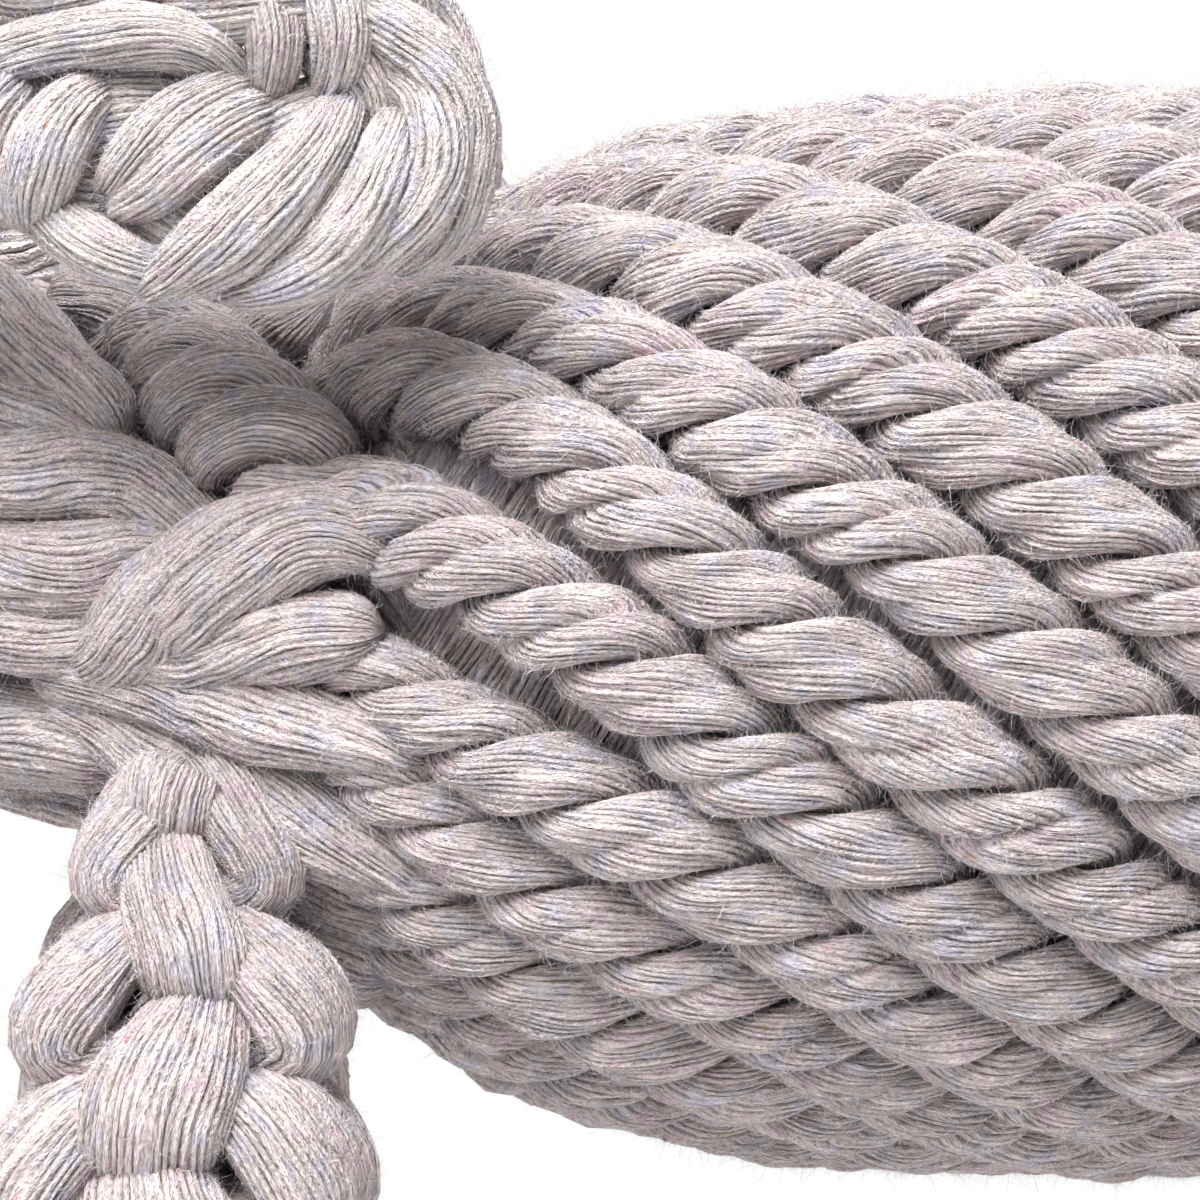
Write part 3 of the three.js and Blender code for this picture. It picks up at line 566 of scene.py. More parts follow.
# True is for the side near the camera, False for the far side with its thicker ridges
rope_cotton = {
    True: cotton_finish("rope cotton", ROPE_LIGHT, ROPE_DARK),
    False: cotton_finish("rope cotton, two yarns to a ridge", ROPE_LIGHT, ROPE_DARK, ridges=2.0)}
strand_cotton = {
    True: cotton_finish("loose strand cotton", STRAND_LIGHT, STRAND_DARK),
    False: cotton_finish("loose strand cotton, two yarns to a ridge", STRAND_LIGHT, STRAND_DARK,
                         ridges=2.0)}
ear_cotton = cotton_finish("ear cotton", (0.95, 0.895, 0.91), (0.51, 0.463, 0.48))
# Darker colours than the rope cotton: painted shade for the deep gaps between ropes
shaded_core_cotton = cotton_finish("inner layer cotton with painted shade", (0.84, 0.765, 0.795), (0.33, 0.285, 0.305),
                            valley=0.4, flecks=0.9)
tie_cotton = cotton_finish("tie cord cotton", (0.8, 0.74, 0.74), (0.5, 0.46, 0.47))
cut_cotton = cotton_finish("cut end cotton", (0.85, 0.79, 0.79), (0.54, 0.5, 0.5), flecks=1.0)
print("finishes:", len(bpy.data.materials))

# %% [markdown]
# ## Inner layer
# Under the ropes lies a hard bundle wound the other way, seen only through the gaps between the
# ropes, where little light gets in; its colour is painted darker as shade. The neck has its own
# filling, with the same painted shade.

# %% Inner layers
FRONT_X, REAR_X, WIDEST_X, BODY_RADIUS = -75.0, 75.0, 7.5, 40.5
BARREL_POWER = 2.7
ROPE_LAYER = 8.2
SLOPE_REACH = 0.078
NECK_RADIUS, NECK_BLEND = 13, 6
NECK_RISE_FROM, NECK_RISE = -62, 0.35


def barrel_radius(x):
    x = np.asarray(x, float)
    reach = np.where(x < WIDEST_X, WIDEST_X - FRONT_X, REAR_X - WIDEST_X)
    share = np.minimum(np.abs(x - WIDEST_X) / reach, 1)
    return BODY_RADIUS * np.sqrt(np.maximum(1 - share**BARREL_POWER, 0))


def barrel_slope(x):
    rise = barrel_radius(x + SLOPE_REACH) - barrel_radius(x - SLOPE_REACH)
    return np.arctan(rise / (2 * SLOPE_REACH))


def core_radius(x):
    return barrel_radius(x) - ROPE_LAYER / np.cos(barrel_slope(x))


def neck_hull(x):
    under = np.maximum(core_radius(x), 0)
    return (under + NECK_RADIUS + np.hypot(under - NECK_RADIUS, NECK_BLEND)) / 2


def neck_middle(x):
    return np.where(x < NECK_RISE_FROM, (NECK_RISE_FROM - x) * NECK_RISE, 0)


UP = np.array([0, 0, 1.0])


def along_x(x, z=0.0):
    return np.stack([x, 0 * x, z + 0 * x], 1)


def up_like(line):
    return np.broadcast_to(UP, line.shape)


core_x = np.linspace(-56, 60, 200)
core_line = along_x(core_x)
core_level = core_radius(core_x) + np.interp(core_x, [-56, -50, 50, 56], [-4, 0.7, 0.7, -3])
make_piece("body_core_layer", [yarn_bundle(
    np.random.default_rng(1), core_line, up_like(core_line), core_level, core_level,
    pitch=1.1, twist=62, step=1.1, relief=0.22, cap=0.5, crease=0.8, lump=0.5)],
    shaded_core_cotton, "body", ["body_core"], fuzz=3)
neck_x = np.linspace(-48, -88, 90)
neck_line = along_x(neck_x, neck_middle(neck_x))
make_piece("neck_core_layer", [yarn_bundle(
    np.random.default_rng(2), neck_line, up_like(neck_line), neck_hull(neck_x) - 0.4,
    neck_hull(neck_x) - 0.4, pitch=1.05, twist=-30, step=1.5, cap=2.0,
    crease=0.5)], shaded_core_cotton, "body", ["neck_core"], fuzz=0.1)
print("faces so far:", sum(faces_made))

# %% [markdown]
# ## Laid ropes of the body
# Twenty ropes wind round the barrel, each of two soft strands laid together, and each strand
# with an uneven dent along its back where its own two bundles meet. A strand goes once round its
# rope in 15.7 mm. Its yarns are twisted the other way in the strand, which is what keeps a laid
# rope from opening, so they lie nearer to the rope's own direction than the strand does. A strand
# is the half of a round rope, turned as it goes; ropes that face away from the photo get fewer,
# thicker yarns.

# %% Course of a rope
# Where the ropes of the left side lie round the barrel, in degrees from the side up, and how many
# degrees each swings away from its even course where it nears the shoulder
LEFT_ANGLES = [55, 36, 18, -1, -18, -34, -50, -66]
FRONT_SWINGS = [3, 4, 6, 8, -1, -10, -9, -9, -6, -3]
ROPE_COUNT = 20
ROPE_LAY = 15.7
ROPE_FROM, ROPE_TO = -58, 56
ROPE_MIDDLE, ROPE_SEAT = 4.3, 0.3
# At each end a rope sinks under what covers it: how deep, from where on, and over how many mm
FRONT_SINK, FRONT_SINK_AT, FRONT_SINK_OVER = 7, -52, 6
REAR_SINK, REAR_SINK_AT, REAR_SINK_OVER = 3, 51, 5
# The ropes turn 195 degrees over the body, and their angles were taken 23.55 mm before its middle
TURN_PER_MM, TAKEN_AT = 195 / 150, -23.55
SWING_RUN = 30
ROPE_STEP = 18.385
ROPE_THICKNESS, ROPE_GAP = 7.8, 0.8
SOFT_SWELL, WIDEST_ROPE = 0.42, 4.15


def rope_angle(n, x):
    n = n % ROPE_COUNT
    left = len(LEFT_ANGLES)
    base = LEFT_ANGLES[n] if n < left else LEFT_ANGLES[-1] - (n - left + 1) * ROPE_STEP
    swing = FRONT_SWINGS[n] if n < len(FRONT_SWINGS) else 0
    ease = np.clip((TAKEN_AT - x) / SWING_RUN, 0, 1)
    return base - TURN_PER_MM * (x - TAKEN_AT) + swing * ease * ease * (3 - 2 * ease)


def rope_spacing(n, x):
    gaps = [np.abs((rope_angle(n, x) - rope_angle(n + s, x) + 180) % 360 - 180) for s in (1, -1)]
    return np.radians(np.minimum(*gaps))


def rope_line(n):
    """The middle line of a rope, the way out of the barrel there, and the rope's radius."""
    x = np.linspace(ROPE_FROM, ROPE_TO, 400)
    slope = barrel_slope(x)
    level = core_radius(x) + ROPE_MIDDLE / np.cos(slope)
    turn = np.radians(np.gradient(rope_angle(n, x), x))
    lean = np.cos(np.arctan(np.abs(turn) * level * np.cos(slope)))
    half = np.minimum(ROPE_THICKNESS, rope_spacing(n, x) * level * lean - ROPE_GAP) / 2
    radius = np.minimum(half + SOFT_SWELL, WIDEST_ROPE)
    out = core_radius(x) + (ROPE_SEAT + radius) / np.cos(slope)
    front = np.clip((FRONT_SINK_AT - x) / FRONT_SINK_OVER, 0, 1)
    back = np.clip((x - REAR_SINK_AT) / REAR_SINK_OVER, 0, 1)
    out = out - FRONT_SINK * front**1.5 - REAR_SINK * back**1.5
    angle = np.radians(rope_angle(n, x))
    away = np.stack([0 * x, -np.cos(angle), np.sin(angle)], 1)
    normal = away * np.cos(slope)[:, None]
    normal[:, 0] = -np.sin(slope)
    line = away * out[:, None]
    line[:, 0] = x
    return line, normal, radius


print("radius of the first rope:", round(float(rope_line(0)[2].max()), 2), "mm")

# %% Two strands laid together
# A strand in rope radiuses: half its width, how far its middle lies from the rope's, and how far
# it reaches outwards and inwards from there
STRAND_HALF, STRAND_MIDDLE, STRAND_OUT, STRAND_IN = 0.85, 0.45, 0.55, 0.45
FLATTENED = 2 / 3.1
LOOSE_HALF, LOOSE_MIDDLE, LOOSE_REACH = 0.8, 0.5, 0.54
YARN_LEAN = -43


def half_rope(t):
    """One of the two strands of a rope, in rope radiuses from the rope's middle line: round
    outside, and nearly flat where it is pressed on the other strand."""
    cos, sin = np.cos(t), np.sin(t)
    inside = sin < 0
    power = np.where(inside, FLATTENED, 1.0)
    reach = np.where(inside, STRAND_IN, STRAND_OUT)
    x = np.sign(cos) * np.abs(cos) ** power * STRAND_HALF
    y = np.sign(sin) * np.abs(sin) ** power * reach + STRAND_MIDDLE
    return x, y


def loose_half(t):
    """A strand of the slack rope on the neck: rounder, so that it stands out as a lobe."""
    return np.cos(t) * LOOSE_HALF, np.sin(t) * LOOSE_REACH + LOOSE_MIDDLE


def laid_strands(seed, line, normal, radius, lay, phase, pitch, step, section=half_rope,
                 dent=0.85):
    """Two strands laid round a line, one turn in lay mm, each with a dent along its back."""
    places, line, normal, radius, step = evenly(line, 0.5, normal, radius,
                                                np.broadcast_to(step, len(line)))
    along = unit(np.gradient(line, axis=0))
    normal = unit(normal - along * (normal * along).sum(1, keepdims=True))
    side = np.cross(normal, along)
    rng = np.random.default_rng(seed)
    uneven = 0.22 * drift(rng, 1, places, 14)[0]
    strands = []
    for k in range(2):
        turn = phase + uneven + 2 * np.pi * places / lay + np.pi * k
        out = normal * np.cos(turn)[:, None] + side * np.sin(turn)[:, None]
        rng = np.random.default_rng(seed * 10 + k)
        size = radius * (1 + 0.03 * drift(rng, 1, places, 8)[0])
        strands.append(yarn_bundle(
            rng, line, out, size, size, pitch=pitch * 1.12, twist=YARN_LEAN, step=step, cap=0.6,
            lump=0.1, crease=0.2, inner=line, section=section,
            grooves=[(np.pi / 2 + 0.1, 0.18, dent)]))
    return strands


print("yarns lean", YARN_LEAN, "degrees in their strand")

# %% Twenty ropes
ROPE_PHASES = [0.0, 1.3, 2.2, 3.66, 4.1, 5.2, 0.7, 1.9, 2.6, 3.7]
FIRST_HIDDEN_ROPE, LAST_HIDDEN_ROPE = 9, 15
FINE_STEP, COARSE_STEP = 0.6, 1.4
for n in range(ROPE_COUNT):
    line, normal, radius = rope_line(n)
    near = not FIRST_HIDDEN_ROPE <= n <= LAST_HIDDEN_ROPE
    phase = ROPE_PHASES[n] if n < len(ROPE_PHASES) else 1.7 * n
    step = COARSE_STEP
    if near:
        step = np.where(line[:, 0] < PICTURED_TO, FINE_STEP, COARSE_STEP)
    make_piece(f"rope_{n + 1:02d}_of_the_body", laid_strands(
        100 + n, line, normal, radius, ROPE_LAY, phase, YARN_PITCH if near else 0.9, step),
        rope_cotton[near], "body", [f"body_rope_{n + 1:02d}"],
        fuzz=SIDE_FUZZ[near])
print("faces so far:", sum(faces_made))

# %% [markdown]
# ## Strands round the neck
# At the shoulder the toy changes from laid rope to thick loose bundles that cross one another.
# Each is a flat bundle of the same yarns, laid along its own way over the neck. A bundle that
# comes out of the barrel starts below the ropes, so that it seems to be what the rope opens into.
# One rope on each side of the neck is still laid, but slack, and its strands stand out as lobes.

# %% Neck strands
# Rows: place along the toy, angle round the neck, how high it is lifted, half its width.
# Each strand has one bundle or two, and each bundle its rows and the lean of its yarns.
FAN = [[-47.9, -18, -2, 1.6], [-49.9, -16, -0.8, 2.3], [-53.3, -15, 0.1, 2.9],
       [-57.5, -14, 0.6, 3.2], [-61.9, -13, 0.6, 3.0], [-66.3, -16, 0.6, 2.7],
       [-70.6, -20, 0.2, 2.6], [-73.9, -23, -0.4, 2.4], [-77.5, -27, -1.8, 1.8]]
FOLD = [[-50.2, 1, -0.8, 2.2], [-52.5, 1, 0.3, 2.9], [-56, 0, 0.9, 3.3], [-60.3, -2, 1, 3.1],
        [-64.7, -6, 0.9, 2.8], [-68.8, -10, 0.2, 2.8], [-71.9, -15, -0.8, 2.4],
        [-75, -18, -2.2, 1.8]]
NECK_STRANDS = {
    "top": [(3, [[-54.2, 84, 0.6, 8.1], [-57.5, 88, 0.6, 7.3], [-61.8, 92, 0.6, 6.8],
                 [-67, 95, 1.8, 7], [-73, 96, 2.4, 7], [-79, 96, 1.4, 6.5]])],
    "left_over": [(7, [[-49.4, 12, -1.8, 1.4], [-50.8, 14, 0.2, 2.6], [-52.8, 15, 1.7, 3.5],
                       [-55.4, 14, 2.4, 4.1], [-59.1, 11, 2.6, 4.4], [-63.5, 5, 2.2, 4.5],
                       [-67.6, -4, 1.4, 4.2], [-71.2, -13, 0.1, 3.4], [-75, -22, -1.8, 2.2]])],
    "left_side": [(6, [[-57.7, 14, -1.5, 1.6], [-61, 19, -0.6, 2.4], [-65, 24, 0, 2.9],
                       [-69.3, 26, 0.2, 3.3], [-73.5, 24, 0.3, 3.5], [-77.6, 19, 0.2, 3.5],
                       [-81.8, 15, 0, 3.3], [-86.7, 12, 0, 2.8]]),
                  (-8, [[-61.3, 12, -1.4, 2], [-64.9, 13, -0.5, 2.7], [-69.1, 9, 0, 3.2],
                        [-73.3, 3, 0.2, 3.5], [-77.5, -2, 0, 3.5], [-81.7, -6, 0, 3.3],
                        [-86.7, -12, 0, 2.8]])],
    "left_upper": [(4, [[-71.3, 38, -1.2, 2.2], [-73.7, 42, -0.2, 3.4], [-77.2, 50, 0, 4.1],
                        [-81.6, 67, 0, 4.1], [-86, 80, 0, 3.8]]),
                   (-4, [[-70.1, 33, -1.6, 1.2], [-72.5, 33, -0.8, 1.9], [-75.9, 33, -0.2, 2.4],
                         [-79.4, 32, 0, 2.6], [-83, 33, 0, 2.6], [-87.2, 33, -0.3, 2.4]])],
    "left_fan": [(-5, FAN), (6, FOLD)],
    "left_lower": [(-6, [[-47.4, -40, -2, 1.8], [-49.7, -36, -0.8, 2.6], [-53.5, -32, 0.2, 3.3],
                         [-57.7, -29, 0.7, 3.5], [-62, -28, 0.9, 3.5], [-66.5, -30, 0.8, 3.3],
                         [-70.5, -32, 0.4, 3.1], [-73.7, -33, -0.4, 2.7],
                         [-77.5, -36, -1.8, 2]]),
                   (5, [[-49.5, -52, -2, 2], [-53.8, -48, -1.2, 2.8], [-57.3, -44, -0.6, 3],
                        [-61.7, -43, -0.4, 3], [-66.2, -47, -0.6, 2.6], [-70.7, -49, -1, 1.8]])],
    "left_belly": [(3, [[-50, -64, -0.8, 4.4], [-54.2, -63, 0, 4.9], [-58.3, -65, 0, 4.9],
                        [-65.1, -69, 0, 4.5], [-72.8, -72, 0, 3.8]])],
    "left_tucked": [(3, [[-71.8, -12, -1.2, 1.2], [-73.1, -14, -0.4, 2.3], [-75.9, -17, 0, 2.9],
                         [-79.1, -19, 0, 2.9], [-82.6, -21, 0, 2.7], [-87, -25, 0, 2.5]])],
    "left_under": [(-4, [[-70.4, -42, -1.8, 1.6], [-73, -42, -0.6, 3.1], [-76.2, -44, 0, 4.2],
                         [-80, -48, 0, 4.4], [-83.8, -53, 0, 4.2], [-88.6, -62, 0, 3.8]])],
    "right_side": [(3, [[-59.5, 26, 0, 3.7], [-65.1, 26, 0, 5.9], [-71.9, 18, 0, 6.8],
                        [-81.4, 7, 0, 6.8], [-84.3, 6, 0, 6.8]])],
    "right_upper": [(3, [[-67.8, 38, 0, 3.7], [-70.5, 42, 0, 4.8], [-74.7, 53, 0, 5.8],
                         [-78.8, 64, 0, 5.8], [-83.7, 70, 0, 5.8]])],
    "right_lower": [(3, [[-50, -35, -0.8, 4.2], [-54.2, -34, 0, 5.1], [-58.3, -33, 0, 5.1],
                         [-65.1, -35, 0, 4.9], [-71.4, -40, 0, 3.8]]), (-5, FAN), (6, FOLD)],
    "right_belly": [(3, [[-50, -64, -0.8, 5.6], [-54.2, -62, 0, 6.6], [-58.3, -64, 0, 6.6],
                         [-65.1, -68, 0, 6], [-72.8, -72, 0, 4.8]])],
    "right_under": [(3, [[-71.8, -54, 0, 5.2], [-74.7, -58, 0, 7.1], [-79.4, -62, 0, 7.1],
                         [-84.3, -65, 0, 7.1]])],
}
LAID_NECK_ROPE = [[-54.1, 21, -2.6, 3.9], [-55.2, 25, -0.6, 4.7], [-57.4, 34, 0.6, 5.1],
                  [-60.9, 48, 1.2, 5.2], [-65.3, 67, 1, 5.1], [-69.7, 80, 0.4, 4.9],
                  [-73.7, 84, 0, 4.4]]


print("strands round the neck:", len(NECK_STRANDS) + 2)

# %% Lay the neck strands
# A strand's middle line lies this far above the filling, before its own lift
STRAND_SEAT, NECK_SLOPE_REACH = 4.2, 2.5


def neck_route(rows, mirrored):
    """The middle line of a neck strand, the way out of the neck, and half its width."""
    rows = [[-row[0], *row[1:]] for row in rows]
    table = smooth_rows(rows, np.linspace(rows[0][0], rows[-1][0], 160))
    x = -table[:, 0]
    angle = np.radians(180 - table[:, 1] if mirrored else table[:, 1])
    rise = neck_hull(x + NECK_SLOPE_REACH) - neck_hull(x - NECK_SLOPE_REACH)
    slope = np.arctan(rise / (2 * NECK_SLOPE_REACH))
    away = np.stack([0 * x, -np.cos(angle), np.sin(angle)], 1)
    out = away * np.cos(slope)[:, None]
    out[:, 0] = -np.sin(slope)
    line = (along_x(x, neck_middle(x)) + away * neck_hull(x)[:, None]
            + out * (STRAND_SEAT + table[:, 2])[:, None])
    return line, out, table[:, 3]


for name, strand in NECK_STRANDS.items():
    near = not name.startswith("right")
    bundles = []
    for number, (lean, rows) in enumerate(strand):
        line, out, half = neck_route(rows, not near)
        bundles.append(yarn_bundle(
            np.random.default_rng(300 + sum(map(ord, name)) + 50 * number), line, out, half,
            np.minimum(3.5, 0.6 + 0.85 * half), pitch=0.5 if near else 0.9,
            step=0.7 if near else 1.6, cap=2.4, crease=0.45, lump=0.22, twist=lean,
            inner=along_x(line[:, 0], neck_middle(line[:, 0])),
            grooves=[(np.pi / 2 + 0.25 * (-1) ** number, 0.16, 0.45)] if near else ()))
    make_piece(f"neck_bundle_{name}", bundles, strand_cotton[near],
               "body", [f"neck_strand_{name}"], fuzz=SIDE_FUZZ[near])
for side in ("left", "right"):
    line, out, half = neck_route(LAID_NECK_ROPE, side == "right")
    near = side == "left"
    make_piece(f"neck_rope_{side}", laid_strands(
        401, line, out, half, lay=13, phase=2.4, pitch=YARN_PITCH if near else 0.9,
        step=0.6 if near else 1.6, section=loose_half, dent=0), rope_cotton[near],
        "body", [f"neck_strand_{side}_laid"], fuzz=SIDE_FUZZ[True])
print("faces so far:", sum(faces_made))

# %% [markdown]
# ## Legs
# A leg is a square plait of six thick bundles. Each bundle runs down one side of the leg, dives
# through the middle and comes out on the opposite side one row lower, so every side shows a
# column of rounded lobes that lie over one another like roof tiles. The columns of the front lie
# half a row higher than those beside them, which lean outwards.

# %% Bundles of a leg
# Rows: share of the way down, width along and across the toy, share of the way out to the foot
LEG_SHARES = [[0, 0.36, 0.45, 0], [0.12, 0.62, 0.64, 0.22], [0.26, 0.86, 0.86, 0.45],
              [0.42, 1, 1, 0.66], [0.6, 1, 1, 0.83], [0.78, 0.98, 0.98, 0.95],
              [0.9, 0.86, 0.92, 1], [1, 0.7, 0.72, 1]]
LOBE_PITCH = 10.8
LEG_TOP, LEG_END, PLAIT_END = -9.0, -77.6, -86
HIP_OUT, FOOT_OUT = 20, 31
LOBE_REACH_X, LOBE_REACH_Y = 10.2, 8.3
TIED_FROM, TIED_OVER = 72, 7
# Each column of lobes: the way it faces, and how far below the hip its first lobe lies
COLUMNS_OF_LOBES = ((0, 18.9), (60, 24.3), (-60, 24.3))


def leg_bundles(seed, hip_x, foot_x, side, near):
    z = np.linspace(LEG_TOP, PLAIT_END, 700)
    down = np.clip((z - LEG_TOP) / (LEG_END - LEG_TOP), 0, 1)
    table = smooth_rows(LEG_SHARES, down)
    middle_x = hip_x + (foot_x - hip_x) * down
    middle_y = side * (HIP_OUT + (FOOT_OUT - HIP_OUT) * table[:, 3])
    tied = np.clip((-z - TIED_FROM) / TIED_OVER, 0, 1)
    tied = tied * tied * (3 - 2 * tied)
    bundles = []
    for column, start in COLUMNS_OF_LOBES:
        for sign in (1, -1):
            u = (-z - start) / LOBE_PITCH
            v = u - np.round(u)
            way = np.radians(column * (1 + 0.75 * v))
            e = np.stack([np.sin(way), np.cos(way) * side, 0 * way], 1)
            turning = np.cross(e, UP)
            wave = np.tanh(2.3 * np.cos(np.pi * u)) / math.tanh(2.3) * sign
            reach = (1 + 0.3 * v - 0.25 * v * v) * (1 - tied) + 0.6 * tied
            wave = wave * (1 - tied) + np.sign(wave) * tied
            lean = (1 - tied) * (1.4 * np.sin(np.pi * u) if column == 0 else 0)
            x = middle_x + wave * e[:, 0] * LOBE_REACH_X * table[:, 1] * reach + lean
            y = middle_y + wave * e[:, 1] * LOBE_REACH_Y * table[:, 2] * reach
            line = np.stack([x, y, z], 1)
            along = unit(np.gradient(line, axis=0))
            out = np.cross(turning, along)
            lens = 0.84 + 0.34 * np.abs(np.cos(np.pi * (v - 0.08))) ** 0.8
            width = np.clip(table[:, 1], 0.68, 1) * (lens * (1 - tied) + 0.78 * tied)
            rng = np.random.default_rng(seed + column + 7 * sign)
            bundles.append(yarn_bundle(
                rng, line, out, 4.75 * width, 3.3 * np.clip(width, 0.3, 1.02),
                pitch=0.5 if near else 1.0, step=0.7 if near else 1.6, cap=1.0, crease=0.4,
                lump=0.2, grooves=[(np.pi / 2 - 0.2 * sign, 0.16, 0.4)] if near else (),
                twist=4 * sign, inner=np.stack([middle_x, middle_y, z], 1)))
    return bundles


print("bundles in a leg:", 2 * len(COLUMNS_OF_LOBES))

# %% Ties and cut ends
def tied_cord(seed, middle, axis, radius, turns=3, pitch=2.35, thick=1.25):
    """A cord wound round a waist."""
    axis = unit(np.asarray(axis, float))
    first = unit(np.cross(axis, [0.3, 1, 0.2]))
    second = np.cross(axis, first)
    turn = np.linspace(0, 2 * np.pi * turns, 60 * turns)
    away = first * np.cos(turn)[:, None] + second * np.sin(turn)[:, None]
    climb = (turn / (2 * np.pi) - turns / 2) * pitch
    line = np.asarray(middle) + away * (radius + thick * 0.9) + axis * climb[:, None]
    return yarn_bundle(np.random.default_rng(seed), line, away, pitch * 0.52, thick,
                       pitch=0.5, twist=24, step=0.9, cap=0.8, crease=0.2,
                       inner=np.asarray(middle) + axis * climb[:, None])


# A turn of this angle spreads any number of yarns evenly over a round end
GOLDEN_TURN = 2.39996


def cut_tuft(seed, start, axis, length, waist, flare, count):
    """Cut yarns that spread from a tie, each a short bundle with a blunt end."""
    rng = np.random.default_rng(seed)
    axis = unit(np.asarray(axis, float))
    first = unit(np.cross(axis, [0.3, 1, 0.2]))
    second = np.cross(axis, first)
    bundles = []
    for i in range(count):
        share = math.sqrt((i + 0.5) / count)
        turn = i * GOLDEN_TURN + rng.normal() * 0.15
        away = first * math.cos(turn) + second * math.sin(turn)
        t = np.linspace(0, 1, 12)[:, None]
        spread = share * (waist * 0.92 + (flare - waist) * (1 - (1 - t) ** 2.2))
        end = length * (0.97 + 0.035 * rng.normal() if share < 0.98 else 0.95)
        end = min(end, length)
        sway = (first * rng.normal() + second * rng.normal()) * 0.35 * t**2
        line = np.asarray(start) + axis * (t * end) + away * spread + sway
        bundles.append(yarn_bundle(
            rng, line, np.broadcast_to(away, line.shape), 1.25, 1.1, pitch=0.75, twist=15,
            step=1.6, cap=0.3, crease=0.2, inner=line - away * share * 4))
    return bundles


print("tie and tuft makers ready")

# %% Four legs
def make_leg(end, side_name, hip_x, near):
    side = -1 if side_name == "left" else 1
    foot_x = hip_x + (-1 if end == "front" else 1)
    name = f"{end}_{side_name}"
    seed = 500 + sum(map(ord, name)) * 11
    make_piece(f"{name}_square_plait", leg_bundles(seed, hip_x, foot_x, side, near),
               strand_cotton[near], f"{name}_leg",
               [f"{name}_leg_plait"], fuzz=SIDE_FUZZ[near])
    foot = np.array([foot_x, side * FOOT_OUT, -81.1])
    make_piece(f"{name}_cord_tie", [tied_cord(seed + 1, foot, [0, 0, 1], radius=9.3)],
               tie_cotton, f"{name}_leg", [f"{name}_foot_tie"], fuzz=END_FUZZ)
    make_piece(f"{name}_cut_end", cut_tuft(
        seed + 2, foot - [0, 0, 2.5], [0, 0, -1], length=11.35, waist=8.6, flare=12.4,
        count=64), cut_cotton,
        f"{name}_leg", [f"{name}_foot_tuft"], fuzz=END_FUZZ)


for end, side_name, hip_x in (("front", "left", -65.5), ("front", "right", -70.5),
                              ("hind", "left", 65.5), ("hind", "right", 65.5)):
    make_leg(end, side_name, hip_x, near=(end, side_name) == ("front", "left"))
print("faces so far:", sum(faces_made))

# %% [markdown]
# ## Ears
# An ear is a flat plait of three bundles, folded back on itself like a hairpin and sewn down at
# both ends. In a flat plait each bundle swings from edge to edge and rises twice in that time,
# once over each neighbour. The photo's ear is pulled out of that order, so the plait is only the
# layer beneath, and each bundle that shows on the outer face is laid over it along its own way.

# %% Course of an ear
# Rows: shares of the reach along, outwards and up, and the share of the plait's full width
EAR_SHARES = [[0, 0.43, -0.19, 0.8], [0.11, 0.63, 0.04, 0.85], [0.295, 0.81, 0.26, 0.95],
              [0.498, 0.94, 0.28, 1], [0.683, 0.985, 0.09, 1], [0.867, 1, 0, 1],
              [0.954, 1, 0.143, 0.9], [0.99, 1, 0.5, 0.88], [0.954, 1, 0.85, 0.84],
              [0.867, 1, 1, 0.8], [0.683, 0.985, 1.15, 0.82], [0.498, 0.94, 1.3, 0.86],
              [0.295, 0.81, 1.32, 0.86], [0.11, 0.63, 1.1, 0.8], [-0.037, 0.4, 0.8, 0.7]]
EAR_CYCLE, EAR_PHASE = 35.0, 0.6
EAR_ROOT_X, EAR_ROOT_Z = -104, 30.5
EAR_LONG, EAR_OUT, EAR_HIGH = 54, 35, 13.3
